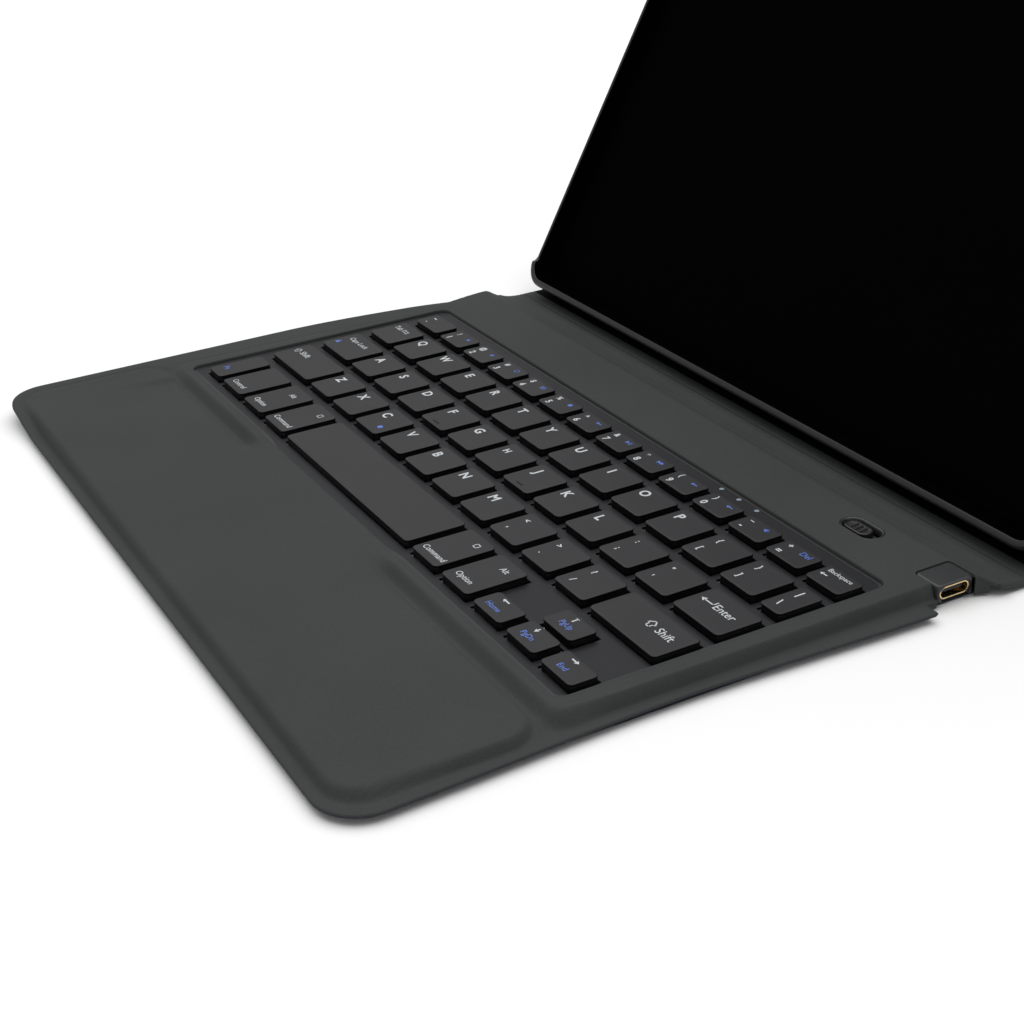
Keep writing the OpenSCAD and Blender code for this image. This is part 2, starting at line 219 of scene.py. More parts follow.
def slab_rings(shape: Rect, rows: list, arc: int = 6, long_side: int = 1,
               short_side: int = 1) -> np.ndarray:
    """Rings of a rounded slab: the outline drawn at each inset and height of its profile.

    Args:
        shape: The plan outline.
        rows: Pairs of inset and height, from the middle of the top round to the bottom.
        arc: Steps in each corner.
        long_side: Steps along the long sides.
        short_side: Steps along the short sides.

    Returns:
        Array of shape (rows, points, 3).
    """
    rings = []
    for inset, height in rows:
        flat = shape.inset(inset).outline(arc, long_side, short_side)
        rings.append(np.column_stack([flat, np.full(len(flat), height)]))
    return np.array(rings)


def edge_round(inset: float, top: float, radius: float, steps: int = 4) -> list:
    """Profile rows of a quarter-round edge that starts level at top and ends upright."""
    angle = np.linspace(0.0, math.pi / 2, steps + 1)
    return [(inset + radius * (1 - math.sin(a)), top - radius * (1 - math.cos(a))) for a in angle]


# ---------------------------------------------------------------- node groups and finishes


def socket_in(group: bpy.types.NodeTree, name: str, kind: str, value: float | None = None) -> None:
    """Adds an input socket to a node group, with its default value."""
    made = group.interface.new_socket(name, in_out="INPUT", socket_type=kind)
    if value is not None:
        made.default_value = value


class NodeGroups:
    """The shader node groups that several finishes share, each built once."""

    def __init__(self) -> None:
        """Builds every group."""
        self.grain = self._grain()
        self.mottle = self._mottle()

    @staticmethod
    def _start(name: str) -> tuple:
        """Makes an empty group.

        Args:
            name: The group's name.

        Returns:
            The group, its input node and its output node.
        """
        group = bpy.data.node_groups.new(name, "ShaderNodeTree")
        return group, group.nodes.new("NodeGroupInput"), group.nodes.new("NodeGroupOutput")

    def _grain(self) -> bpy.types.NodeTree:
        """Fine surface relief: cell pits of one size over soft noise of another, as a normal.

        Returns:
            The group, with inputs Pit scale, Noise scale, Strength and Depth and output Normal.
        """
        group, start, end = self._start("fine_grain")
        socket_in(group, "Pit scale", "NodeSocketFloat", 3000.0)
        socket_in(group, "Noise scale", "NodeSocketFloat", 900.0)
        socket_in(group, "Strength", "NodeSocketFloat", 0.3)
        socket_in(group, "Depth", "NodeSocketFloat", 0.00005)
        group.interface.new_socket("Normal", in_out="OUTPUT", socket_type="NodeSocketVector")
        place = group.nodes.new("ShaderNodeTexCoord")
        pits = group.nodes.new("ShaderNodeTexVoronoi")
        noise = group.nodes.new("ShaderNodeTexNoise")
        noise.inputs["Detail"].default_value = 3.0
        add = group.nodes.new("ShaderNodeMath")
        add.operation = "ADD"
        bump = group.nodes.new("ShaderNodeBump")
        link = group.links.new
        link(place.outputs["Object"], pits.inputs["Vector"])
        link(place.outputs["Object"], noise.inputs["Vector"])
        link(start.outputs["Pit scale"], pits.inputs["Scale"])
        link(start.outputs["Noise scale"], noise.inputs["Scale"])
        link(pits.outputs["Distance"], add.inputs[0])
        link(noise.outputs["Fac"], add.inputs[1])
        link(add.outputs[0], bump.inputs["Height"])
        link(start.outputs["Strength"], bump.inputs["Strength"])
        link(start.outputs["Depth"], bump.inputs["Distance"])
        link(bump.outputs["Normal"], end.inputs["Normal"])
        return group

    def _mottle(self) -> bpy.types.NodeTree:
        """Uneven colour: a fine speckle and a broad cloud both mix between two colours.

        Returns:
            The group, with inputs Dark, Light, Fine scale and Broad scale, and outputs Color
            and Mask.
        """
        group, start, end = self._start("mottled_colour")
        socket_in(group, "Dark", "NodeSocketColor")
        socket_in(group, "Light", "NodeSocketColor")
        socket_in(group, "Fine scale", "NodeSocketFloat", 2500.0)
        socket_in(group, "Broad scale", "NodeSocketFloat", 30.0)
        group.interface.new_socket("Color", in_out="OUTPUT", socket_type="NodeSocketColor")
        group.interface.new_socket("Mask", in_out="OUTPUT", socket_type="NodeSocketFloat")
        place = group.nodes.new("ShaderNodeTexCoord")
        link = group.links.new
        fine, broad = (group.nodes.new("ShaderNodeTexNoise") for _ in range(2))
        fine.inputs["Detail"].default_value = 2.0
        broad.inputs["Detail"].default_value = 5.0
        for noise, name in ((fine, "Fine scale"), (broad, "Broad scale")):
            link(place.outputs["Object"], noise.inputs["Vector"])
            link(start.outputs[name], noise.inputs["Scale"])
        both = group.nodes.new("ShaderNodeMath")
        both.operation = "MULTIPLY_ADD"
        both.inputs[1].default_value = 0.45
        link(broad.outputs["Fac"], both.inputs[0])
        halved = group.nodes.new("ShaderNodeMath")
        halved.operation = "MULTIPLY"
        halved.inputs[1].default_value = 0.55
        link(fine.outputs["Fac"], halved.inputs[0])
        link(halved.outputs[0], both.inputs[2])
        spread = group.nodes.new("ShaderNodeMapRange")
        spread.inputs["From Min"].default_value = 0.36
        spread.inputs["From Max"].default_value = 0.64
        link(both.outputs[0], spread.inputs["Value"])
        mix = group.nodes.new("ShaderNodeMix")
        mix.data_type = "RGBA"
        link(spread.outputs[0], mix.inputs["Factor"])
        link(start.outputs["Dark"], mix.inputs[6])
        link(start.outputs["Light"], mix.inputs[7])
        link(mix.outputs[2], end.inputs["Color"])
        link(spread.outputs[0], end.inputs["Mask"])
        return group


@dataclass(frozen=True)
class Finish:
    """One surface finish: two close colours, its relief and its gloss."""

    name: str
    dark: tuple
    light: tuple
    roughness: tuple = (0.6, 0.75)
    fine_scale: float = 2500.0
    broad_scale: float = 30.0
    pit_scale: float = 3000.0
    noise_scale: float = 900.0
    strength: float = 0.3
    depth: float = 0.00005
    metallic: float = 0.0
    specular: float = 0.5
    sheen: float = 0.0
    coat: float = 0.0

    def build(self, groups: NodeGroups) -> bpy.types.Material:
        """Makes the material.

        Args:
            groups: The shared node groups.

        Returns:
            The material, with colour, roughness and normal from the groups.
        """
        material = bpy.data.materials.new(self.name)
        material.use_nodes = True
        tree = material.node_tree
        shader = next(n for n in tree.nodes if n.type == "BSDF_PRINCIPLED")
        mottle = tree.nodes.new("ShaderNodeGroup")
        mottle.node_tree = groups.mottle
        mottle.inputs["Dark"].default_value = (*self.dark, 1.0)
        mottle.inputs["Light"].default_value = (*self.light, 1.0)
        mottle.inputs["Fine scale"].default_value = self.fine_scale
        mottle.inputs["Broad scale"].default_value = self.broad_scale
        grain = tree.nodes.new("ShaderNodeGroup")
        grain.node_tree = groups.grain
        grain.inputs["Pit scale"].default_value = self.pit_scale
        grain.inputs["Noise scale"].default_value = self.noise_scale
        grain.inputs["Strength"].default_value = self.strength
        grain.inputs["Depth"].default_value = self.depth
        gloss = tree.nodes.new("ShaderNodeMapRange")
        gloss.inputs["To Min"].default_value, gloss.inputs["To Max"].default_value = self.roughness
        tree.links.new(mottle.outputs["Color"], shader.inputs["Base Color"])
        tree.links.new(mottle.outputs["Mask"], gloss.inputs["Value"])
        tree.links.new(gloss.outputs[0], shader.inputs["Roughness"])
        tree.links.new(grain.outputs["Normal"], shader.inputs["Normal"])
        shader.inputs["Metallic"].default_value = self.metallic
        shader.inputs["Specular IOR Level"].default_value = self.specular
        shader.inputs["Sheen Weight"].default_value = self.sheen
        shader.inputs["Sheen Roughness"].default_value = 0.5
        shader.inputs["Coat Weight"].default_value = self.coat
        return material


class Look(Enum):
    """The finishes of the case's own pieces."""

    COVER_FABRIC = Finish("cover_fabric", (0.036, 0.0395, 0.0395), (0.050, 0.054, 0.053), (0.74, 0.88),
                          2600.0, 22.0, 3200.0, 1200.0, 0.5, 0.00007, specular=0.16, sheen=0.02)
    OUTER_FABRIC = Finish("outer_fabric", (0.031, 0.034, 0.035), (0.045, 0.048, 0.049), (0.72, 0.86),
                          2600.0, 22.0, 2600.0, 1000.0, 0.6, 0.00009, specular=0.16, sheen=0.02)
    CUT_EDGE = Finish("cut_edge", (0.006, 0.007, 0.014), (0.011, 0.012, 0.022), (0.6, 0.75))
    DECK = Finish("deck_plastic", (0.0085, 0.0088, 0.0110), (0.0115, 0.0118, 0.0145), (0.45, 0.55),
                  4000.0, 40.0, 6000.0, 3000.0, 0.15, 0.00002, specular=0.22)
    KEY = Finish("key_plastic", (0.0145, 0.0145, 0.0165), (0.0178, 0.0178, 0.0200), (0.42, 0.52),
                 5000.0, 60.0, 7000.0, 4000.0, 0.14, 0.00002, specular=0.25)
    # Key sides: a much darker copy of the key plastic, painted shade on the faces that turn away from the
    # overhead light; the lower roughness gives them gloss.
    KEY_SIDE_SHADE = Finish("key_side_painted_shade", (0.003, 0.003, 0.0035), (0.005, 0.005, 0.0055), (0.25, 0.35),
                      5000.0, 60.0, 7000.0, 4000.0, 0.1, 0.00002, specular=0.2)
    LEGEND_WHITE = Finish("legend_white", (0.50, 0.53, 0.55), (0.58, 0.60, 0.62), (0.5, 0.6),
                          strength=0.05)
    LEGEND_BLUE = Finish("legend_blue", (0.075, 0.145, 0.50), (0.10, 0.18, 0.58), (0.5, 0.6),
                         strength=0.05)
    TRAY = Finish("tray_plastic", (0.011, 0.011, 0.012), (0.016, 0.016, 0.017), (0.30, 0.42),
                  4000.0, 40.0, 5000.0, 3000.0, 0.15, 0.00002)
    LINING = Finish("tray_lining", (0.0006, 0.0006, 0.0006), (0.0010, 0.0010, 0.0010), (0.92, 0.98),
                    3000.0, 30.0, 4000.0, 1500.0, 0.4, 0.00005, specular=0.01)
    # The black end of the spine under the tray's lip: partly a dark hem, partly painted shade where the
    # overhanging lip shadows the spine.
    HEM = Finish("black_hem_and_painted_shade", (0.0018, 0.0018, 0.0018), (0.0030, 0.0030, 0.0030), (0.85, 0.95),
                 2600.0, 22.0, 3200.0, 1200.0, 0.4, 0.00005, specular=0.05)
    PORT = Finish("port_plastic", (0.0200, 0.0208, 0.0225), (0.0255, 0.0263, 0.0280), (0.36, 0.46),
                  4000.0, 40.0, 6000.0, 3000.0, 0.1, 0.00002)
    SWITCH = Finish("switch_plastic", (0.012, 0.012, 0.014), (0.018, 0.018, 0.020), (0.32, 0.42),
                    4000.0, 40.0, 6000.0, 3000.0, 0.1, 0.00002)
    BLACK = Finish("black_plastic", (0.004, 0.004, 0.005), (0.007, 0.007, 0.008), (0.45, 0.55))
    GOLD = Finish("gold_shell", (0.72, 0.54, 0.26), (0.83, 0.66, 0.36), (0.22, 0.34),
                  2000.0, 80.0, 3000.0, 1500.0, 0.08, 0.00002, metallic=1.0)
    STEEL = Finish("plated_steel", (0.42, 0.43, 0.45), (0.56, 0.57, 0.59), (0.28, 0.42),
                   2500.0, 60.0, 3000.0, 1500.0, 0.1, 0.00002, metallic=1.0)
    BOARD = Finish("pressed_board", (0.08, 0.08, 0.08), (0.12, 0.12, 0.12), (0.8, 0.9))
    PCB = Finish("circuit_board", (0.008, 0.06, 0.025), (0.014, 0.09, 0.04), (0.35, 0.5))
    FOIL = Finish("battery_foil", (0.45, 0.46, 0.48), (0.6, 0.6, 0.62), (0.3, 0.45), metallic=0.8)
    SILICONE = Finish("silicone", (0.55, 0.55, 0.54), (0.68, 0.68, 0.67), (0.45, 0.6))
    LIGHT_PIPE = Finish("light_pipe", (0.25, 0.30, 0.36), (0.33, 0.38, 0.44), (0.15, 0.25), coat=0.5)
    FOAM = Finish("foam", (0.10, 0.10, 0.10), (0.16, 0.16, 0.16), (0.85, 0.95), strength=0.7)


# The finish of each CAD node that shows as it is
NODE_LOOKS = {
    Look.BOARD: ("base_board", "spine_board", "kickstand_board"),
    Look.DECK: ("keyboard_deck", "keyboard_bottom_case"),
    Look.STEEL: ("key_support_plate", "case_screws", "closing_magnets", "hinge_leaf_upper",
                 "hinge_leaf_lower", "hinge_pin", "tray_magnets", "kickstand_magnets"),
    Look.SILICONE: ("membrane_sheet", "rubber_domes", "scissor_links"),
    Look.PCB: ("circuit_board",),
    Look.FOIL: ("battery_cell",),
    Look.BLACK: ("usb_tongue", "power_switch_body"),
    Look.GOLD: ("usb_socket",),
    Look.LIGHT_PIPE: ("status_lights",),
}


class Workshop:
    """Turns surfaces into dressed pieces and keeps the materials."""

    def __init__(self) -> None:
        """Builds the node groups; materials follow when first used."""
        self.groups = NodeGroups()
        self.materials: dict = {}
        self.made = 0

    def material(self, look: Look) -> bpy.types.Material:
        """Returns the material of a finish, built once."""
        if look not in self.materials:
            self.materials[look] = look.value.build(self.groups)
        return self.materials[look]

    def mesh(self, name: str, surface: Surface, sharp: float = 35.0) -> bpy.types.Object:
        """Makes a smooth-shaded object from a surface.

        Args:
            name: The object's name.
            surface: Its shape, in millimetres.
            sharp: Edges that turn by more than this many degrees stay crisp.

        Returns:
            The object, at the origin, in metres.
        """
        data = bpy.data.meshes.new(name)
        data.from_pydata((surface.points * MM).tolist(), [], surface.faces)
        self.crisp(data, sharp)
        data.validate()
        made = bpy.data.objects.new(name, data)
        bpy.context.scene.collection.objects.link(made)
        return made

    @staticmethod
    def crisp(data: bpy.types.Mesh, degrees: float) -> None:
        """Shades a mesh smooth, except at edges that turn by more than some degrees."""
        data.shade_smooth()
        data.set_sharp_from_angle(angle=math.radians(degrees))

    def piece(self, name: str, surface: Surface, look: Look, body: str, slot: str,
              replaces: tuple = (), sharp: float = 35.0) -> bpy.types.Object:
        """Makes one piece of the case, dressed and riding on its body.

        Args:
            name: The piece's name.
            surface: Its shape, in millimetres.
            look: Its finish.
            body: The body that it moves with.
            slot: The record's material slot.
            replaces: CAD nodes that it stands for.
            sharp: Edges that turn by more than this many degrees stay crisp.

        Returns:
            The piece.
        """
        made = self.mesh(name, surface, sharp)
        self.dress(made, look, body, slot, replaces)
        return made

    def dress(self, made: bpy.types.Object, look: Look, body: str | None, slot: str,
              replaces: tuple = ()) -> None:
        """Gives a piece its material and body, and hides the CAD nodes that it stands for.

        Args:
            made: The piece.
            look: Its finish.
            body: The body that it moves with, or None for a sheet that rides on no body.
            slot: The record's material slot; not used.
            replaces: CAD nodes that it stands for.
        """
        made.data.materials.clear()
        made.data.materials.append(self.material(look))
        if body:
            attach(made, body)
        if replaces:
            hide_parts(*replaces)
        self.made += 1
        lowest = min(corner[2] for corner in made.bound_box) / MM
        count = len(made.data.vertices)
        LOG.info("piece %s: %d vertices on %s, lowest %.2f mm", made.name, count, body, lowest)

    def second_look(self, made: bpy.types.Object, look: Look,
                    chosen: Callable[[np.ndarray, np.ndarray], np.ndarray]) -> None:
        """Gives some faces of a piece a second finish.

        Args:
            made: The piece.
            look: The second finish.
            chosen: Takes the faces' centres, in millimetres, and their normals, and returns
                which faces get it.
        """
        data = made.data
        count = len(data.polygons)
        centre, normal = np.empty(count * 3), np.empty(count * 3)
        data.polygons.foreach_get("center", centre)
        data.polygons.foreach_get("normal", normal)
        mask = chosen(centre.reshape(-1, 3) / MM, normal.reshape(-1, 3))
        data.materials.append(self.material(look))
        index = np.asarray(mask, dtype=np.int32) * (len(data.materials) - 1)
        data.polygons.foreach_set("material_index", index)
        data.update()

    def cut(self, target: bpy.types.Object, cutters: list) -> None:
        """Cuts closed surfaces out of an object, and keeps the result as its mesh.

        Args:
            target: The object to cut.
            cutters: Surfaces in millimetres.
        """
        tool = self.mesh("cutter", joined(cutters))
        step = target.modifiers.new("cut", "BOOLEAN")
        step.operation, step.object, step.solver = "DIFFERENCE", tool, "EXACT"
        self.settle(target)
        bpy.data.objects.remove(tool)

    @staticmethod
    def punch(target: bpy.types.Object, flat: np.ndarray) -> None:
        """Cuts an upright hole through an open sheet, by slicing it along each side of the hole.

        Args:
            target: The sheet.
            flat: Corners of the hole's convex plan, counter-clockwise, in millimetres.
        """
        mesh = bmesh.new()
        mesh.from_mesh(target.data)
        corners = np.asarray(flat, float) * MM
        (left, front), (right, back) = corners.min(0) - MM, corners.max(0) + MM
        faces = [face for face in mesh.faces if any(
            left < v.co.x < right and front < v.co.y < back for v in face.verts)]
        edges = dict.fromkeys(edge for face in faces for edge in face.edges)
        geometry = [*faces, *edges, *dict.fromkeys(v for face in faces for v in face.verts)]
        sides = [(a, np.array([b[1] - a[1], a[0] - b[0]])) for a, b in zip(corners, np.roll(corners, -1, 0))]
        for (x, y), (out_x, out_y) in sides:
            geometry = bmesh.ops.bisect_plane(mesh, geom=geometry, dist=1e-7, plane_co=(x, y, 0),
                                              plane_no=(out_x, out_y, 0))["geom"]
        inside = []
        for face in (item for item in geometry if isinstance(item, bmesh.types.BMFace)):
            middle = face.calc_center_median()
            if all((middle.x - x) * out_x + (middle.y - y) * out_y < 0 for (x, y), (out_x, out_y) in sides):
                inside.append(face)
        bmesh.ops.delete(mesh, geom=inside, context="FACES")
        mesh.to_mesh(target.data)
        mesh.free()

    @staticmethod
    def settle(target: bpy.types.Object) -> None:
        """Applies every modifier of an object to its mesh."""
        graph = bpy.context.evaluated_depsgraph_get()
        result = bpy.data.meshes.new_from_object(target.evaluated_get(graph))
        target.modifiers.clear()
        old = target.data
        target.data = result
        bpy.data.meshes.remove(old)

    @staticmethod
    def thicken(target: bpy.types.Object, thickness: float) -> None:
        """Gives a sheet its wall, inwards from its outer face, in millimetres."""
        wall = target.modifiers.new("wall", "SOLIDIFY")
        wall.thickness, wall.offset = thickness * MM, -1.0
        wall.use_even_offset = False


# ---------------------------------------------------------------- the keyboard base


@dataclass
class Base:
    """The keyboard base: its fabric cover, its underside, the port block and the switch.

    Fields that end in top are heights over the table. The overhang and the turn-up belong to the
    left border, the bow to the right one. The flap is the visible thickness of the border, and the
    flare is how far the hump widens at its back, to meet the spine.
    """

    shop: Workshop
    half_width: float = 127.0
    front: float = -91.0
    back: float = 84.5
    corner: float = 12.0
    border_top: float = 2.8
    palm_top: float = 4.9
    rim_top: float = 6.2
    deck_top: float = 5.2
    scoop_top: float = 5.35
    fabric: float = 0.6
    recess: Rect = Rect(-116.5, 113.9, -32.5, 58.8, 3.0)
    palm: Rect = Rect(-124.5, 121.4, -87.6, -39.6, 9.0)
    hump: Rect = Rect(-119.8, 119.9, -36.6, 100.0, 4.0)
    valley: Rect = Rect(-119.0, 119.0, -50.0, -30.0, 5.0)
    valley_top: float = 3.9
    scoop: tuple = (-48.0, 32.0)
    notch: tuple = ((122.0, 63.6), (140.0, 63.6), (140.0, 95.0), (126.2, 86.4), (122.7, 81.2), (122.0, 79.6))
    spine_half: float = 125.2
    overhang: float = 3.0
    flap: float = 0.95
    bow: float = 3.4
    bow_middle: float = -8.0
    bow_spread: float = 55.0
    skew: float = 0.0072
    skin_inset: float = 3.8
    skin_bow: float = 1.0
    slope_start: float = 78.0
    rear_top: float = 3.3
    flare: float = 5.4
    turn_up: float = 3.2
    groove_depth: float = 0.30
    wall: float = 0.55
    edge_width: float = 0.55
    steps: tuple = (12, 150, 110)
    rows_across: int = 76
    lip: float = 0.7

    def lean(self, x: np.ndarray, y: np.ndarray) -> np.ndarray:
        """How far the front runs back towards the left: linear in x, gone behind the palm rest."""
        return self.skew * (82.0 - x) * (1 - smoothstep(-80, -50, y))

    def outer_outline(self) -> np.ndarray:
        """Outline of the base from above: round front corners and sides that aren't straight.

        The right side bows in on a bell curve and runs in to the spine's width at its back.
        The left side swells out by the overhang and comes back at the spine on smoothsteps.

        Returns:
            Array of shape (points, 2), counter-clockwise from the front left corner.
        """
        shape = Rect(-self.half_width, self.half_width, self.front, self.back, self.corner, 0.8)
        points = shape.outline(*self.steps)
        x, y = points.T
        near = self.half_width - 27
        left = smoothstep(near, self.half_width, -x) * (1 - smoothstep(50.0, self.back, y))
        right = smoothstep(near, self.half_width, x)
        bell = self.bow * np.exp(-((y - self.bow_middle) / self.bow_spread) ** 2)
        rear = (self.half_width - self.spine_half) * smoothstep(79.0, self.back, y)
        return np.column_stack([x - self.overhang * left - (bell + rear) * right, y + self.lean(x, y)])

    def border(self, x: np.ndarray, y: np.ndarray) -> np.ndarray:
        """Height of the sewn border: level, but turned up all along the left side."""
        return self.border_top + self.turn_up * (1 - smoothstep(5, 95, y)) * smoothstep(95, 124, -x)

    def height(self, x: np.ndarray, y: np.ndarray) -> np.ndarray:
        """Height of the fabric: the border, the palm pad, the hump round the keys, the grooves.

        The pad and the hump are steps on their signed distances. Between them runs a groove
        that fades out in front of the space bar, where a scoop for the thumbs joins the two.
        At its back the hump flares out to the width of the spine.

        Args:
            x: Places along the key rows.
            y: Places across them.

        Returns:
            Heights over the table, in millimetres.
        """
        # Where things are: 1 along the thumb scoop, on the palm pad and on the hump, 0 elsewhere
        scoop = smoothstep(self.scoop[0] - 9, self.scoop[0] + 4, x) * (
            1 - smoothstep(self.scoop[1] - 4, self.scoop[1] + 9, x))
        at_palm = self.palm.distance(x, y - self.lean(x, y))
        flare = self.flare * np.where(x > 0, smoothstep(70.0, 74.0, y), smoothstep(44.0, 80.0, y))
        at_hump = self.hump.distance(x, y) - flare
        palm = 1 - smoothstep(-1.7, 0.6, at_palm)
        soft = 0.9 + 0.85 * (1 - smoothstep(-34, -20, y))
        hump = 1 - smoothstep(-soft, soft, at_hump)
        # Levels of the hump's rim, the ground between hump and pad, and the pad, stacked up
        border = self.border(x, y)
        rim = self.rim_top - (self.rim_top - self.scoop_top) * scoop * (1 - smoothstep(-31, -25, y))
        valley = border + np.maximum(self.valley_top - border, 0.0) * (
            1 - smoothstep(-3.0, 2.5, self.valley.distance(x, y)))
        pad = self.palm_top + 1.0 * smoothstep(10, 115, -x) * (1 - smoothstep(-60, -40, y) * (x > -112))
        z = valley + np.maximum(pad - valley, 0.0) * palm
        z = np.maximum(z, valley + (rim - valley) * hump)
        # The scoop's slope from the pad up to the rim
        bridge = self.palm_top + (rim - self.palm_top) * smoothstep(-46, -33, y)
        inner = smoothstep(self.palm.front + 30, self.palm.front + 36, y)
        z = z + (np.maximum(z, bridge) - z) * scoop * inner
        # Grooves round the pad, the hump and the recess, and the pad's slight unevenness
        z -= self.groove_depth * np.exp(-((at_palm - 0.9) / 0.8) ** 2) * (1 - scoop * inner)
        z -= 0.4 * self.groove_depth * np.exp(-((at_hump - soft - 0.5) / 0.8) ** 2) * (y > self.hump.front)
        z += 0.07 * np.sin(x / 23.0 + 0.7) * np.sin(y / 17.0) * palm * smoothstep(0, 8, -at_palm)
        lip = np.exp(-((self.recess.distance(x, y) - self.lip - 0.9) / 0.5) ** 2)
        z -= 0.10 * lip * (1 - scoop * (y < -28))
        # The slope down to the spine
        drop = (self.rim_top - self.rear_top) * smoothstep(0, 4, z)
        return z - drop * smoothstep(self.slope_start, self.back + 0.4, y)

    def cover(self) -> Surface:
        """The fabric top as rings from the recess out to the edge of the base.

        Row by row, points slide from the recess's outline to the outer outline, and their
        height follows height(). The first rows climb out of the recess over a small round,
        and the last ones turn down over the edge.

        Returns:
            The open surface, facing out.
        """
        arc, long_side, short_side = self.steps
        inner = self.recess.outline(arc, long_side, short_side)
        lip = self.recess.inset(-self.lip).outline(arc, long_side, short_side)
        outer = self.outer_outline()
        rings = [np.column_stack([inner, np.full(len(inner), self.deck_top - 0.6)])]
        for across, up in ((0.0, 0.0), (0.03, 0.4), (0.2, 0.78), (0.5, 0.95)):
            flat = inner + (lip - inner) * across
            top = self.height(flat[:, 0], flat[:, 1])
            rings.append(np.column_stack([flat, self.deck_top + 0.02 + (top - self.deck_top) * up]))
        rim = self._pulled_in(outer, self.edge_width)
        even = np.linspace(0.0, 1.0, self.rows_across)
        for share in 0.4 * even + 0.3 * (1 - np.cos(math.pi * even)):
            flat = lip + (rim - lip) * share
            rings.append(np.column_stack([flat, self.height(flat[:, 0], flat[:, 1])]))
        edge = self.height(rim[:, 0], rim[:, 1])
        for pull, drop in ((0.3, 0.03), (0.12, 0.11), (0.02, 0.24), (0.0, 0.4), (0.0, 0.55)):
            rings.append(np.column_stack([self._pulled_in(outer, pull), edge - drop]))
        return loft(np.array(rings), False, False)

    def flap_edge(self) -> Surface:
        """The dark cut edge under the border, a band carried from the spine round to the port.

        Its section is a wedge: upright and thin at the outline, and going down to the skin
        on its underside, a few millimetres further in.
        """
        outer = self.outer_outline()
        rim = self._pulled_in(outer, self.edge_width)
        top = self.height(rim[:, 0], rim[:, 1])
        low = np.maximum(top - self.flap, 0.9)
        section = ((5.0, top * 0 + 0.75), (0.5, low - 0.02), (0.1, low), (-0.04, low + 0.12),
                   (-0.04, top - 0.48), (0.05, top - 0.40), (0.9, top - 0.60), (5.0, top * 0 + 1.6))
        rings = np.stack([np.column_stack([self._pulled_in(outer, pull), z]) for pull, z in section], 1)
        low_y, high_y = self.front + self.corner + 3, self.slope_start - 0.5
        left = np.flatnonzero((outer[:, 0] < 0) & (outer[:, 1] > low_y) & (outer[:, 1] < high_y))
        rest = np.flatnonzero((outer[:, 1] < self.notch[0][1] - 0.2) & (np.arange(len(outer)) < left[0]))
        return loft(rings[np.concatenate([left, rest])])

    @staticmethod
    def _pulled_in(outline: np.ndarray, distance: float) -> np.ndarray:
        """Moves each point of an outline in along its normal, which is the chord's, turned."""
        chord = np.roll(outline, -1, 0) - np.roll(outline, 1, 0)
        length = np.maximum(np.hypot(chord[:, 0], chord[:, 1]), 1e-6)[:, None]
        normal = np.column_stack([-chord[:, 1], chord[:, 0]]) / length
        return outline + normal * distance

    def underside(self) -> Surface:
        """The bottom skin: a thin closed slab with soft edges, set in from the border."""
        d = self.skin_inset
        right = self.half_width - d - self.skin_bow
        shape = Rect(-self.half_width + d, right, self.front + d, self.back, 4.0, 0.8)
        rows = ((6.0, 0.82), (0.9, 0.82), (0.25, 0.76), (0.0, 0.5), (0.05, 0.2), (0.4, 0.02), (6.0, 0.0))

        def clear_of_notch(points: np.ndarray) -> np.ndarray:
            """Draws the right side in beside the port."""
            x, y, z = points.T
            return np.column_stack([x - 2.0 * smoothstep(57.0, 62.0, y) * (x > 100), y, z])

        return loft(slab_rings(shape, rows, 8, 60, 80)).mapped(clear_of_notch)

    def notch_walls(self, port_front: float, port_back: float) -> Surface:
        """The fabric that turns down round the notch, as two thin walls beside the port block.

        Each wall is a rectangle carried along the notch's line. Its top follows the cover.

        Args:
            port_front: Where the port block starts.
            port_back: Where it ends.
        """
        (x, front), back = self.notch[0], self.notch[5][1]
        ramp, corner = self.notch[4], (124.8, self.back - 0.2)
        wall = self.wall
        side = ((self.half_width - 1.0, front), (x + 1.2, front), (x, front + 0.2), (x, port_front))
        rear = ((x, port_back), (x, back), ramp, corner)
        inside = ((side[0][0], front - wall), (x + 1.2, front - wall), (x - wall, front),
                  (x - wall, port_front))
        behind = tuple((place[0] - wall, place[1] + 0.2) for place in rear)
        walls = []
        for line, other in ((side, inside), (rear, behind)):
            flat, inner = (np.concatenate([np.linspace(a, b, 9)[:-1] for a, b in zip(path, path[1:])])
                           for path in (line, other))
            top = self.height(inner[:, 0] - 0.3, inner[:, 1]) - 0.08
            low = np.where(flat[:, 0] > x + 1.25, top - self.flap, 0.85)
            rings = np.stack([np.column_stack([flat, low]), np.column_stack([flat, top]),
                              np.column_stack([inner, top]), np.column_stack([inner, low])], 1)
            walls.append(loft(rings))
        return joined(walls)

    def build(self) -> None:
        """Makes every piece of the base."""
        port_low, port_high = (np.array(v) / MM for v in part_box("port_surround"))
        pocket = Rect(port_low[0] - 0.15, port_high[0] + 3, port_low[1] - 0.15, port_high[1] + 0.15, 1.5)
        slot = SwitchSlot.from_frame()
        cover = self.shop.mesh("base_cover", self.cover(), 50.0)
        for hole in (pocket.outline(4), np.array(self.notch), slot.stadium(0.15).outline(8)):
            self.shop.punch(cover, hole)
        self.shop.thicken(cover, self.fabric)
        self.shop.settle(cover)
        self.shop.crisp(cover.data, 50)
        self.shop.dress(cover, Look.COVER_FABRIC, "base", "fabric", ("base_top_fabric",))
        self.shop.piece("base_underside", self.underside(), Look.CUT_EDGE, "base", "fabric",
                        ("base_bottom_skin",))
        self.shop.piece("border_edge", self.flap_edge(), Look.CUT_EDGE, "base", "fabric", (), 50.0)
        walls = self.notch_walls(port_low[1] - 0.1, port_high[1] + 0.1)
        self.shop.piece("notch_hem", walls, Look.COVER_FABRIC, "base", "fabric")
        self._palm_pad()
        self._recess_shade_band()
        self._port(port_low, port_high)
        slot.build(self.shop)

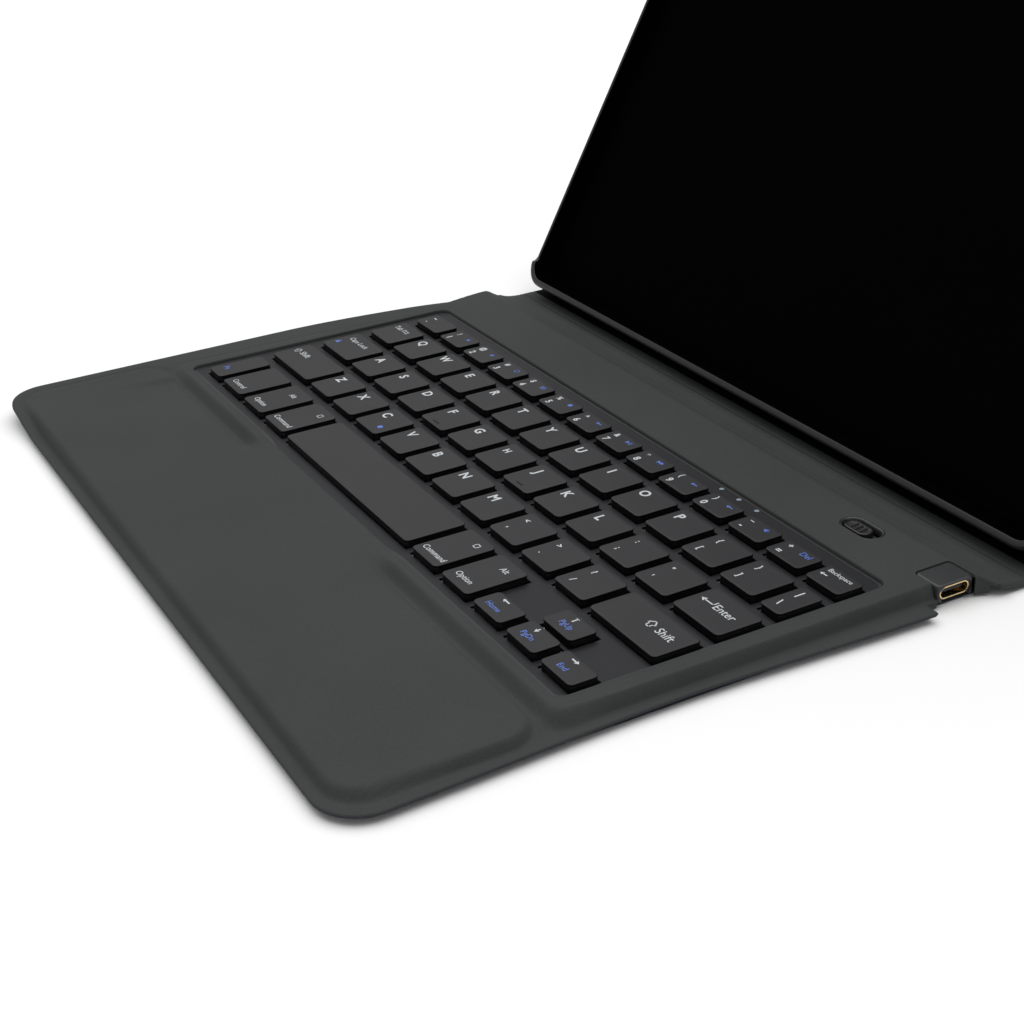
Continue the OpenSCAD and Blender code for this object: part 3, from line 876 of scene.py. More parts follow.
    def _recess_shade_band(self) -> None:
        """Painted shade: a black band between the deck and the fabric, where the fabric's rim shadows the
        deck; it runs out at the thumb scoop.
        """
        arc, long_side, short_side = self.steps
        outer = self.recess.inset(0.02).outline(arc, long_side, short_side)
        inner = self.recess.inset(1.0).outline(arc, long_side, short_side)
        x, y = outer.T
        scoop = smoothstep(self.scoop[0] - 4, self.scoop[0] + 4, x) * (
            1 - smoothstep(self.scoop[1] - 4, self.scoop[1] + 4, x)) * (y < -30)
        inner = inner + (outer - inner) * (0.97 * scoop)[:, None]
        low, high = self.deck_top - 0.3, self.deck_top + 0.06
        rings = [np.column_stack([flat, np.full(len(flat), z)]) for flat, z in (
            (inner, low), (inner, high), (outer, high), (outer, low))]
        # The black ring is painted shade, the rim's shadow on the deck.
        self.shop.piece("recess_painted_shade", closed_band(np.array(rings)), Look.BLACK, "base", "black_plastic")

    def _palm_pad(self) -> None:
        """The foam under the palm rest, a slab with soft edges."""
        low, high = (np.array(v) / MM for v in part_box("palm_foam"))
        shape = Rect(low[0], high[0], low[1], high[1], 5.0)
        top = high[2] - 0.25
        rows = [(12.0, top), (2.0, top)] + edge_round(0.0, top, 1.2)
        rows += [(0.0, low[2] + 0.1), (4.0, low[2] + 0.05)]
        pad = self.shop.piece("palm_pad", loft(slab_rings(shape, rows, 6, 40, 12)), Look.FOAM, "base",
                              "foam", ("palm_foam",))

    def _port(self, low: np.ndarray, high: np.ndarray) -> None:
        """The moulded block round the charging socket, with a soft top edge and an oval mouth."""
        shape = Rect(low[0], high[0], low[1], high[1], 1.4)
        top = high[2] + 0.15
        rows = [(3.0, top), (0.9, top)] + edge_round(0.0, top, 0.7) + [(0.0, low[2]), (1.5, low[2])]
        block = self.shop.mesh("port_block", loft(slab_rings(shape, rows, 6, 8, 8)), 40.0)
        middle, height = (low[1] + high[1]) / 2, 3.6
        mouth = Rect(middle - 4.5, middle + 4.5, height - 1.62, height + 1.62, 1.6)
        flare = Rect(middle - 5.0, middle + 5.0, height - 2.1, height + 2.1, 2.0)
        tube = [np.column_stack([np.full(len(ring), x), ring]) for x, ring in (
            (low[0] + 1.4, mouth.outline(8)), (high[0] - 0.75, mouth.outline(8)),
            (high[0] - 0.7, flare.outline(8)), (high[0] + 1.0, flare.outline(8)))]
        self.shop.cut(block, [loft(np.array(tube)[::-1])])
        self.shop.crisp(block.data, 40)
        self.shop.dress(block, Look.PORT, "base", "port_plastic", ("port_surround",))


@dataclass
class SwitchSlot:
    """The stadium slot of the power switch, its liner and its ribbed slider."""

    x: float
    y: float
    length: float
    width: float
    knob: tuple
    liner: float = 0.75
    rib_pitch: float = 1.7
    rib: float = 0.64

    @classmethod
    def from_frame(cls) -> "SwitchSlot":
        """Reads the slot's place and size from the CAD bezel and slider."""
        low, high = (np.array(v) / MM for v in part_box("switch_bezel"))
        knob = tuple(np.array(v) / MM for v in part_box("power_switch_knob"))
        return cls((low[0] + high[0]) / 2, (low[1] + high[1]) / 2, high[0] - low[0], high[1] - low[1], knob)

    def stadium(self, grow: float) -> Rect:
        """The slot's plan, grown by a margin."""
        half_l, half_w = self.length / 2 + grow, self.width / 2 + grow
        return Rect(self.x - half_l, self.x + half_l, self.y - half_w, self.y + half_w, half_w - 0.01)

    def build(self, shop: Workshop) -> None:
        """Makes the liner ring and the slider.

        Args:
            shop: The workshop.
        """
        low, high = (np.array(v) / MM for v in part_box("switch_bezel"))
        top, bottom = high[2] - 0.05, low[2]
        shape = self.stadium(0.1)
        rows = [(self.liner, bottom), (self.liner, top - 0.6), (0.62, top - 0.22), (0.38, top - 0.04),
                (0.2, top), (0.05, top - 0.12), (0.0, top - 0.4), (0.0, bottom)]
        ring = closed_band(slab_rings(shape, rows, 12))
        shop.piece("switch_liner", ring, Look.PORT, "base", "port_plastic", ("switch_bezel",))
        k_low, k_high = self.knob
        plan = Rect(k_low[0], k_high[0], k_low[1], k_high[1], 2.1)
        face = k_high[2] - 0.15
        rows = [(0.9, face - 0.32), (0.5, face - 0.25)] + edge_round(0.0, face, 0.35) + [(0.0, k_low[2])]
        parts = [loft(slab_rings(plan, rows, 8))]
        middle = (k_low[0] + k_high[0]) / 2
        rib_rows = [(0.15, face + 0.05), (0.0, face - 0.1), (0.0, face - 0.6)]
        for i in range(-1, 2):
            x = middle + i * self.rib_pitch
            rib = Rect(x - self.rib / 2, x + self.rib / 2, k_low[1] + 0.75, k_high[1] - 0.75, 0.3)
            parts.append(loft(slab_rings(rib, rib_rows, 4)))
        shop.piece("switch_slider", joined(parts), Look.SWITCH, "switch_slider", "switch_plastic",
                   ("power_switch_knob",))


# ---------------------------------------------------------------- keys and legends


class Tone(Enum):
    """The two inks of the legends."""

    WHITE = Look.LEGEND_WHITE
    BLUE = Look.LEGEND_BLUE


class Icon(Enum):
    """The drawn signs on the keys."""

    LEFT = "left"
    RIGHT = "right"
    UP = "up"
    DOWN = "down"
    SHIFT = "shift"
    ENTER = "enter"
    TAB = "tab"
    LOCK = "lock"
    DOT = "dot"
    SQUARE = "square"
    SUN = "sun"
    BARS = "bars"
    PLAY = "play"
    NEXT = "next"
    SOUND = "sound"


@dataclass(frozen=True)
class Legend:
    """One sign on a key: what it says, where its middle is and how tall it is.

    Args:
        sign: Letters or an icon.
        across: Middle, as a share of the key's width from its left side.
        along: Middle, as a share of the key's depth from its front side.
        tall: Height of a capital, or of the icon, in millimetres.
        tone: The ink.
    """

    sign: str | Icon
    across: float
    along: float
    tall: float = 2.6
    tone: Tone = Tone.WHITE


def strip(points: list, width: float) -> list:
    """Turns a bent line into one flat box for each stretch.

    Args:
        points: Corners of the line.
        width: Its width.

    Returns:
        Outlines, one for each stretch, counter-clockwise.
    """
    boxes = []
    for a, b in zip(points, points[1:]):
        a, b = np.array(a, float), np.array(b, float)
        along = (b - a) / max(np.hypot(*(b - a)), 1e-6)
        side = np.array([-along[1], along[0]]) * width / 2
        a, b = a - along * width / 2, b + along * width / 2
        boxes.append([a - side, b - side, b + side, a + side])
    return boxes


def icon_outlines(icon: Icon) -> list:
    """The outlines of an icon in a box of height 1, as convex polygons round its middle.

    Args:
        icon: Which one.

    Returns:
        Lists of points, each polygon counter-clockwise.
    """
    head = [(-0.62, 0.0), (-0.1, -0.34), (-0.1, 0.34)]
    arrow = [head] + strip([(-0.05, 0.0), (0.6, 0.0)], 0.2)
    turns = {Icon.LEFT: 0, Icon.RIGHT: 180, Icon.UP: -90, Icon.DOWN: 90}
    circle = [(0.42 * math.cos(a), 0.42 * math.sin(a)) for a in np.linspace(0, 2 * math.pi, 12)[:-1]]
    if icon in turns:
        c, s = math.cos(math.radians(turns[icon])), math.sin(math.radians(turns[icon]))
        return [[(c * x - s * y, s * x + c * y) for x, y in part] for part in arrow]
    drawn = {
        Icon.SHIFT: strip([(0, 0.5), (-0.5, 0.0), (-0.22, 0.0), (-0.22, -0.45), (0.22, -0.45), (0.22, 0.0),
                           (0.5, 0.0), (0, 0.5)], 0.11),
        Icon.ENTER: [[(-1.0, -0.1), (-0.45, -0.42), (-0.45, 0.22)]]
        + strip([(-0.5, -0.1), (0.8, -0.1), (0.8, 0.45)], 0.14),
        Icon.TAB: strip([(-0.8, 0.5), (-0.8, 0.0)], 0.12) + strip([(-0.7, 0.25), (0.8, 0.25)], 0.12)
        + strip([(-0.8, -0.25), (0.7, -0.25)], 0.12) + strip([(0.8, 0.0), (0.8, -0.5)], 0.12)
        + [[(-0.7, 0.25), (-0.35, 0.05), (-0.35, 0.45)], [(0.7, -0.25), (0.35, -0.05), (0.35, -0.45)]],
        Icon.LOCK: [[(-0.36, -0.5), (0.36, -0.5), (0.36, 0.05), (-0.36, 0.05)]]
        + strip([(-0.22, 0.05), (-0.22, 0.38), (0.22, 0.38), (0.22, 0.05)], 0.13),
        Icon.DOT: [circle],
        Icon.SQUARE: strip([(-0.4, -0.4), (0.4, -0.4), (0.4, 0.4), (-0.4, 0.4), (-0.4, -0.4)], 0.13),
        Icon.SUN: [[(0.6 * x, 0.6 * y) for x, y in circle]]
        + [p for a in range(0, 360, 45) for p in strip(
            [(0.36 * math.cos(math.radians(a)), 0.36 * math.sin(math.radians(a))),
             (0.5 * math.cos(math.radians(a)), 0.5 * math.sin(math.radians(a)))], 0.08)],
        Icon.BARS: [p for y in (-0.3, 0.0, 0.3) for p in strip([(-0.5, y), (0.5, y)], 0.15)],
        Icon.PLAY: [[(-0.6, -0.4), (0.05, 0.0), (-0.6, 0.4)]]
        + strip([(0.25, -0.35), (0.25, 0.35)], 0.13) + strip([(0.55, -0.35), (0.55, 0.35)], 0.13),
        Icon.NEXT: [[(-0.7, -0.4), (0.0, 0.0), (-0.7, 0.4)], [(0.0, -0.4), (0.7, 0.0), (0.0, 0.4)]],
        Icon.SOUND: [[(-0.5, -0.18), (-0.25, -0.18), (-0.25, 0.18), (-0.5, 0.18)],
                     [(-0.3, -0.2), (0.05, -0.45), (0.05, 0.45), (-0.3, 0.2)]]
        + strip([(0.25, -0.25), (0.32, 0.0), (0.25, 0.25)], 0.09),
    }
    return drawn[icon]


class Printer:
    """Makes the thin raised ink of the legends."""

    ink: float = 0.012
    bold: float = 0.028
    regular: float = 0.004

    def __init__(self) -> None:
        """Measures the height of a capital once, to scale the letters by."""
        self.cache: dict = {}
        self.capital = 1.0
        self.capital = float(np.ptp(self.letters("H").points[:, 1]))

    def letters(self, text: str) -> Surface:
        """Letters as a mesh, centred on their own middle, with capitals of height 1.

        Args:
            text: The letters.

        Returns:
            The surface, with its thickness going from 0 to the ink's.
        """
        if text not in self.cache:
            curve = bpy.data.curves.new("legend", "FONT")
            curve.body, curve.size, curve.resolution_u = text, 1.0, 3
            curve.offset, curve.extrude = self.bold if len(text) == 1 else self.regular, 0.5
            holder = bpy.data.objects.new("legend", curve)
            bpy.context.scene.collection.objects.link(holder)
            bpy.context.view_layer.update()
            graph = bpy.context.evaluated_depsgraph_get()
            data = bpy.data.meshes.new_from_object(holder.evaluated_get(graph))
            co = np.empty(len(data.vertices) * 3)
            data.vertices.foreach_get("co", co)
            co = co.reshape(-1, 3)
            faces = [list(p.vertices) for p in data.polygons]
            bpy.data.objects.remove(holder)
            bpy.data.curves.remove(curve)
            bpy.data.meshes.remove(data)
            co[:, :2] -= (co[:, :2].max(0) + co[:, :2].min(0)) / 2
            co[:, :2] /= self.capital
            co[:, 2] = (co[:, 2] + 0.5) * self.ink
            self.cache[text] = Surface(co, faces)
        return self.cache[text]

    def drawn(self, icon: Icon) -> Surface:
        """An icon as thin closed plates of height 1."""
        plates = []
        for outline in icon_outlines(icon):
            flat = np.array(outline, float)
            rings = np.array([np.column_stack([flat, np.full(len(flat), z)]) for z in (self.ink, 0.0)])
            plates.append(loft(rings))
        return joined(plates)

    def legend(self, legend: Legend, key: tuple, top: float) -> Surface:
        """A legend in its place on a key.

        Args:
            legend: What to print.
            key: The key's left, right, front and back.
            top: Height of the key's top.

        Returns:
            The surface, in millimetres.
        """
        source = self.drawn(legend.sign) if isinstance(legend.sign, Icon) else self.letters(legend.sign)
        points = source.points.copy()
        points[:, :2] *= legend.tall
        points[:, 0] += key[0] + (key[1] - key[0]) * legend.across
        points[:, 1] += key[2] + (key[3] - key[2]) * legend.along
        points[:, 2] += top
        return Surface(points, source.faces)


def letter(text: str) -> list:
    """The single legend of a letter key."""
    return [Legend(text, 0.24, 0.69, 3.1)]


def pair(base: str, shifted: str) -> list:
    """The two legends of a punctuation key."""
    return [Legend(base, 0.24, 0.28, 1.9), Legend(shifted, 0.24, 0.74, 1.9)]


def number(digit: str, shifted: str, media: str | Icon) -> list:
    """The three legends of a number key, the last one blue."""
    tall = 1.9 if isinstance(media, Icon) else 2.0
    return [Legend(digit, 0.22, 0.27, 2.3), Legend(shifted, 0.22, 0.73, 1.9),
            Legend(media, 0.70, 0.70, tall, Tone.BLUE)]


ROW_LEGENDS = {
    "number_keys": [
        number("1", "!", Icon.SUN), number("2", "@", Icon.SUN), number("3", "#", Icon.SQUARE),
        number("4", "$", Icon.BARS), number("5", "%", Icon.DOT), number("6", "^", Icon.LEFT),
        number("7", "&", Icon.PLAY), number("8", "*", Icon.NEXT), number("9", "(", Icon.LEFT),
        number("0", ")", Icon.LEFT), number("-", "_", Icon.SOUND), number("=", "+", "Del")],
    "top_letter_keys": [letter(c) for c in "QWERTYUIOP"] + [pair("[", "{"), pair("]", "}")],
    "home_letter_keys": [letter(c) for c in "ASDFGHJKL"] + [pair(";", ":"), pair("'", '"')],
    "lower_letter_keys": [
        letter("Z"), letter("X"), letter("C") + [Legend(Icon.DOT, 0.72, 0.28, 2.2, Tone.BLUE)]]
    + [letter(c) for c in "VBNM"] + [pair(",", "<"), pair(".", ">"), pair("/", "?")],
}
KEY_LEGENDS = {
    "grave_key": [Legend("`", 0.2, 0.3, 2.2), Legend("~", 0.2, 0.72, 2.2)],
    "backspace_key": [Legend(Icon.LEFT, 0.2, 0.46, 1.9), Legend("Backspace", 0.48, 0.74, 1.55)],
    "tab_key": [Legend("Tab", 0.24, 0.70, 2.0), Legend(Icon.TAB, 0.56, 0.70, 2.0)],
    "backslash_key": [Legend("\\", 0.36, 0.3, 2.4), Legend("|", 0.36, 0.74, 2.4)],
    "caps_lock_key": [Legend("Caps Lock", 0.43, 0.70, 2.0), Legend(Icon.LOCK, 0.12, 0.38, 2.2, Tone.BLUE)],
    "enter_key": [Legend(Icon.ENTER, 0.24, 0.58, 2.6), Legend("Enter", 0.60, 0.57, 2.6)],
    "left_shift_key": [Legend(Icon.SHIFT, 0.09, 0.60, 2.6), Legend("Shift", 0.28, 0.62, 2.3)],
    "right_shift_key": [Legend(Icon.SHIFT, 0.54, 0.60, 3.0), Legend("Shift", 0.76, 0.58, 2.6)],
    "fn_key": [Legend("Fn", 0.36, 0.28, 2.1, Tone.BLUE)],
    "control_key": [Legend("Control", 0.44, 0.18, 1.9)],
    "left_option_key": [Legend("Option", 0.42, 0.18, 1.9), Legend("Alt", 0.56, 0.76, 1.9)],
    "left_command_key": [Legend("Command", 0.48, 0.19, 1.9), Legend(Icon.SQUARE, 0.70, 0.80, 2.0)],
    "space_bar": [],
    "right_command_key": [Legend("Command", 0.50, 0.19, 1.9), Legend(Icon.SQUARE, 0.70, 0.80, 2.0)],
    "right_option_key": [Legend("Option", 0.42, 0.20, 1.9), Legend("Alt", 0.62, 0.78, 1.9)],
    "arrow_left_key": [Legend(Icon.LEFT, 0.38, 0.85, 2.1), Legend("Home", 0.42, 0.37, 1.75, Tone.BLUE)],
    "arrow_down_key": [Legend(Icon.DOWN, 0.36, 0.82, 2.1), Legend("PgDn", 0.42, 0.36, 1.75, Tone.BLUE)],
    "arrow_up_key": [Legend(Icon.UP, 0.43, 0.84, 2.1), Legend("PgUp", 0.48, 0.38, 1.75, Tone.BLUE)],
    "arrow_right_key": [Legend(Icon.RIGHT, 0.40, 0.82, 2.1), Legend("End", 0.42, 0.37, 1.75, Tone.BLUE)],
}
HOMING_KEYS = {"home_letter_keys": (3, 6)}


@dataclass
class Keyboard:
    """The key caps and their legends, placed on the CAD keys."""

    shop: Workshop
    cap_radius: float = 1.25
    draft: float = 0.10
    edge: float = 0.16
    dish: float = 0.04

    def key_places(self, node: str, count: int) -> list:
        """The left, right, front and back of each key in a node, in order along the row.

        Args:
            node: The CAD node, with one key or a row of equal keys.
            count: How many keys it holds.

        Returns:
            A tuple for each key, in millimetres: the spans that the node's faces cover
            along the row, joined where they touch.
        """
        low, high = (np.array(v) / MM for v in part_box(node))
        if count == 1:
            return [(low[0], high[0], low[1], high[1])]
        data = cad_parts[node].data
        co = np.empty(len(data.vertices) * 3)
        data.vertices.foreach_get("co", co)
        x = co.reshape(-1, 3)[:, 0] / MM
        spans = sorted((min(x[i] for i in face.vertices), max(x[i] for i in face.vertices))
                       for face in data.polygons)
        keys = [list(spans[0])]
        for start, end in spans[1:]:
            if start > keys[-1][1] + 0.5:
                keys.append([start, end])
            keys[-1][1] = max(keys[-1][1], end)
        return [(start, end, low[1], high[1]) for start, end in keys]

    def cap(self, key: tuple, bottom: float, top: float) -> Surface:
        """One key cap: a drafted skirt, a round upper edge, a flat top and a hollow underside.

        Args:
            key: The key's left, right, front and back at its top.
            bottom: Height of the skirt's edge.
            top: Height of the top.

        Returns:
            The closed surface.
        """
        shape = Rect(*key, self.cap_radius)
        rows = [(2.4, top - self.dish), (1.2, top - self.dish * 0.6)]
        rows += edge_round(-0.05, top, self.edge)
        rows += [(-0.03, top - 0.6), (0.12, top - 0.72), (-self.draft, top - 1.5), (-self.draft, bottom + 0.1),
                 (0.0, bottom), (0.75, bottom), (0.95, top - 1.2)]
        return loft(slab_rings(shape, rows, 5))

    def homing_bar(self, key: tuple, top: float) -> Surface:
        """The small raised bar that fingers find on two keys of the home row."""
        middle = (key[0] + key[1]) / 2
        bar = Rect(middle - 1.6, middle + 1.6, key[2] + 1.5, key[2] + 2.0, 0.24)
        return loft(slab_rings(bar, [(0.12, top + 0.22), (0.02, top + 0.12), (0.0, top - 0.2)], 4))

    def build(self) -> None:
        """Makes every key and its legends."""
        printer = Printer()
        table = {**ROW_LEGENDS, **{name: [legends] for name, legends in KEY_LEGENDS.items()}}
        for node, legends in table.items():
            low, high = (np.array(v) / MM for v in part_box(node))
            places = self.key_places(node, len(legends))
            body = node + "_body"
            caps = [self.cap(key, low[2], high[2]) for key in places]
            caps += [self.homing_bar(places[i], high[2] - self.dish) for i in HOMING_KEYS.get(node, ())]
            made = self.shop.piece(node.replace("_key", "_cap"), joined(caps), Look.KEY, body, "key_plastic",
                                   (node,), 60.0)
            # Painted shade: the sides and underside of each cap get the darker key finish.
            self.shop.second_look(made, Look.KEY_SIDE_SHADE, lambda centre, normal: normal[:, 2] < 0.35)
            for tone in Tone:
                prints = [printer.legend(item, key, high[2] - self.dish + printer.ink)
                          for key, items in zip(places, legends) for item in items if item.tone is tone]
                if prints:
                    name = f"{node}_{tone.name.lower()}_print"
                    self.shop.piece(name, joined(prints), tone.value, body, "key_plastic")


# ---------------------------------------------------------------- spine, tray and kickstand


@dataclass
class TrayFrame:
    """Where the leaning tray and its kickstand are: turns their own places into the row frame."""

    tilt: float = 60.7
    fold: np.ndarray = field(default_factory=lambda: np.array([0.0, 103.5, 0.9]))
    hinge: tuple = (84.0, 0.65)
    opening: float = 47.5

    @staticmethod
    def _turned(points: np.ndarray, degrees: float) -> np.ndarray:
        """Turns points about the X axis."""
        c, s = math.cos(math.radians(degrees)), math.sin(math.radians(degrees))
        x, y, z = points.T
        return np.column_stack([x, c * y - s * z, s * y + c * z])

    def tray(self, points: np.ndarray) -> np.ndarray:
        """From the tray's own frame (x across, y up the tray, z out of its face)."""
        return self._turned(points, self.tilt) + self.fold

    def to_tray(self, points: np.ndarray) -> np.ndarray:
        """From the row frame to the tray's own frame."""
        return self._turned(points - self.fold, -self.tilt)

    def kickstand(self, points: np.ndarray) -> np.ndarray:
        """From the kickstand's own frame, which starts at its hinge."""
        return self.tray(self._turned(points, self.opening) + np.array([0.0, *self.hinge]))


@dataclass
class Tray:
    """The hard tray shell, its dark lining and the fabric panel on its back."""

    shop: Workshop
    place: TrayFrame
    half_width: float = 125.4
    bottom: float = 0.9
    height: float = 179.8
    radius: float = 9.0
    wall: float = 1.4
    lip: float = 0.8
    back: float = 1.6
    floor: float = 2.8
    low: float = 9.4
    rim: float = 11.1
    clip: float = 8.0
    camera: tuple = (-104.0, 162.7, 9.0)

    @property
    def plan(self) -> Rect:
        """The shell's outline, seen square on."""
        return Rect(-self.half_width, self.half_width, self.bottom, self.bottom + self.height, self.radius)

    def wall_height(self, flat: np.ndarray) -> np.ndarray:
        """How far the wall rises along the outline: full at the bottom and the corners.

        Args:
            flat: Points of the outline, x and y.

        Returns:
            0 for the low wall to 1 for the full one, eased over 3 mm.
        """
        x, y = np.abs(flat[:, 0]), flat[:, 1]
        top = self.bottom + self.height
        near_side = smoothstep(self.half_width - self.clip - 1.0, self.half_width - self.clip + 1.0, x)
        near_top = smoothstep(top - self.clip - 1.0, top - self.clip + 1.0, y)
        near_bottom = 1 - smoothstep(self.bottom + self.clip - 1.5, self.bottom + self.clip + 0.5, y)
        return np.maximum(near_bottom, near_top * near_side)

    def shell(self) -> Surface:
        """The shell as one profile carried round the outline: floor, wall, lip, outside, back."""
        arc, long_side, short_side = 12, 90, 70
        outline = self.plan.outline(arc, long_side, short_side)
        full = self.wall_height(outline)
        high = self.low + (self.rim - self.low) * full
        rows = [(22.0, 0, self.floor, 0), (self.wall + 1.0, 0, self.floor, 0),
                (self.wall + 0.25, 0, self.floor + 0.1, 0), (self.wall, 0, self.floor + 0.5, 0),
                (self.wall, 0, -0.95, 1), (self.wall + 0.05, 0.6, -0.85, 1), (self.wall, 1, -0.62, 1),
                (self.wall, 1, -0.30, 1), (self.wall - 0.10, 1, -0.10, 1), (self.wall - 0.35, 1, 0.0, 1),
                (0.75, 0, 0.0, 1), (0.4, 0, -0.08, 1), (0.12, 0, -0.3, 1), (0.0, 0, -0.65, 1),
                (0.0, 0, self.back + 1.5, 0), (0.12, 0, self.back + 0.7, 0), (0.5, 0, self.back + 0.22, 0),
                (1.2, 0, self.back + 0.02, 0), (3.0, 0, self.back, 0), (22.0, 0, self.back, 0)]
        rings = []
        for inset, lips, level, on_rim in rows:
            base = self.plan.inset(inset).outline(arc, long_side, short_side)
            if lips:
                further = self.plan.inset(inset + self.lip).outline(arc, long_side, short_side)
                base = base + (further - base) * (full * lips)[:, None]
            z = high + level if on_rim else np.full(len(base), level)
            rings.append(np.column_stack([base, z]))
        return loft(np.array(rings))

    def window(self, radius: float) -> Surface:
        """A round bar through the tray where the tablet's camera looks out."""
        angle = np.linspace(0, 2 * math.pi, 49)[:-1]
        x, y, _ = self.camera
        flat = np.column_stack([x + radius * np.cos(angle), y + radius * np.sin(angle)])
        rings = [np.column_stack([flat, np.full(len(flat), z)]) for z in (9.0, -3.0)]
        return loft(np.array(rings)).mapped(self.place.tray)

    def pierced(self, name: str, surface: Surface, radius: float, sharp: float = 35.0) -> bpy.types.Object:
        """A mesh in the tray's frame with the camera window cut through it.

        Args:
            name: The object's name.
            surface: Its shape, in the tray's own frame.
            radius: The window's radius in this layer.
            sharp: Edges that turn by more than this many degrees stay crisp.

        Returns:
            The object, in the row frame.
        """
        made = self.shop.mesh(name, surface.mapped(self.place.tray), sharp)
        self.shop.cut(made, [self.window(radius)])
        self.shop.crisp(made.data, sharp)
        return made

    def panel_rows(self, outer: float, inner: float, groove: float) -> list:
        """Profile of a covered panel: soft edges and a pressed line inside the outer face.

        Args:
            outer: Level of the face that is seen.
            inner: Level of the face that is glued down.
            groove: Depth of the pressed line.

        Returns:
            Pairs of inset and level, starting from the inner face.
        """
        step = 1.0 if inner > outer else -1.0
        return [(14.0, inner), (1.0, inner), (0.25, inner - 0.1 * step), (0.0, inner - 0.35 * step),
                (0.0, outer + 0.45 * step), (0.15, outer + 0.18 * step), (0.5, outer + 0.03 * step),
                (1.0, outer), (3.2, outer), (3.8, outer + groove * step * 0.5),
                (4.3, outer + groove * step), (4.8, outer + groove * step * 0.5), (5.4, outer), (14.0, outer)]

    def build(self) -> None:
        """Makes the shell, the lining and the back panel."""
        shell = self.pierced("tray_shell_moulding", self.shell(), self.camera[2])
        self.shop.dress(shell, Look.TRAY, "tray", "tray_plastic", ("tray_shell",))
        bay = self.plan.inset(self.wall - 0.3)

        def inside(centre: np.ndarray, _normal: np.ndarray) -> np.ndarray:
            """Picks the faces of the bay, up to the rim."""
            flat = self.place.to_tray(centre)
            under_rim = flat[:, 2] < self.low - 0.3 + (self.rim - self.low) * self.wall_height(flat)
            return (bay.distance(flat[:, 0], flat[:, 1]) < 0) & (flat[:, 2] > self.floor - 0.3) & under_rim

        self.shop.second_look(shell, Look.LINING, inside)
        inset = self.wall + 3.0
        lining_rows = [(8.0, self.floor + 0.4), (0.4, self.floor + 0.4), (0.1, self.floor + 0.3),
                       (0.0, self.floor + 0.02), (8.0, self.floor + 0.01)]
        rings = slab_rings(self.plan.inset(inset), lining_rows, 8, 60, 40)
        lining = self.pierced("tray_lining_sheet", loft(rings), self.camera[2] + 1.0)
        self.shop.dress(lining, Look.LINING, "tray", "lining", ("tray_lining",))
        panel = Rect(-self.half_width + 1, self.half_width - 1, self.place.hinge[0] + 2.2,
                     self.bottom + self.height - 1, 2.0)
        rows = self.panel_rows(0.0, self.back, 0.3)
        back = self.pierced("back_panel", loft(slab_rings(panel, rows, 6, 60, 30)), self.camera[2] - 0.2)
        self.shop.dress(back, Look.OUTER_FABRIC, "tray", "fabric", ("back_cover",))


@dataclass
class Kickstand:
    """The fabric-covered panel that holds the tray up."""

    shop: Workshop
    place: TrayFrame
    tray: Tray
    length: float = 78.0
    gap: float = 1.6
    half: float = 0.65

    def build(self) -> None:
        """Makes the panel, with room for its two hinges."""
        width = self.tray.half_width - 1
        shape = Rect(-width, width, -self.length, -self.gap, 2.0)
        rows = self.tray.panel_rows(-self.half, self.half, 0.25)
        slab = loft(slab_rings(shape, rows, 6, 60, 24)).mapped(self.place.kickstand)
        panel = self.shop.mesh("kickstand_panel", slab)
        pockets = []
        for x in (-80.0, 80.0):
            pocket = Rect(x - 12.0, x + 12.0, -2.4, 1.0, 0.3)
            pockets.append(loft(slab_rings(pocket, [(0, 1.2), (0, -1.2)])).mapped(self.place.kickstand))
        self.shop.cut(panel, pockets)
        self.shop.crisp(panel.data, 35)
        self.shop.dress(panel, Look.OUTER_FABRIC, "kickstand", "fabric", ("kickstand_fabric",))


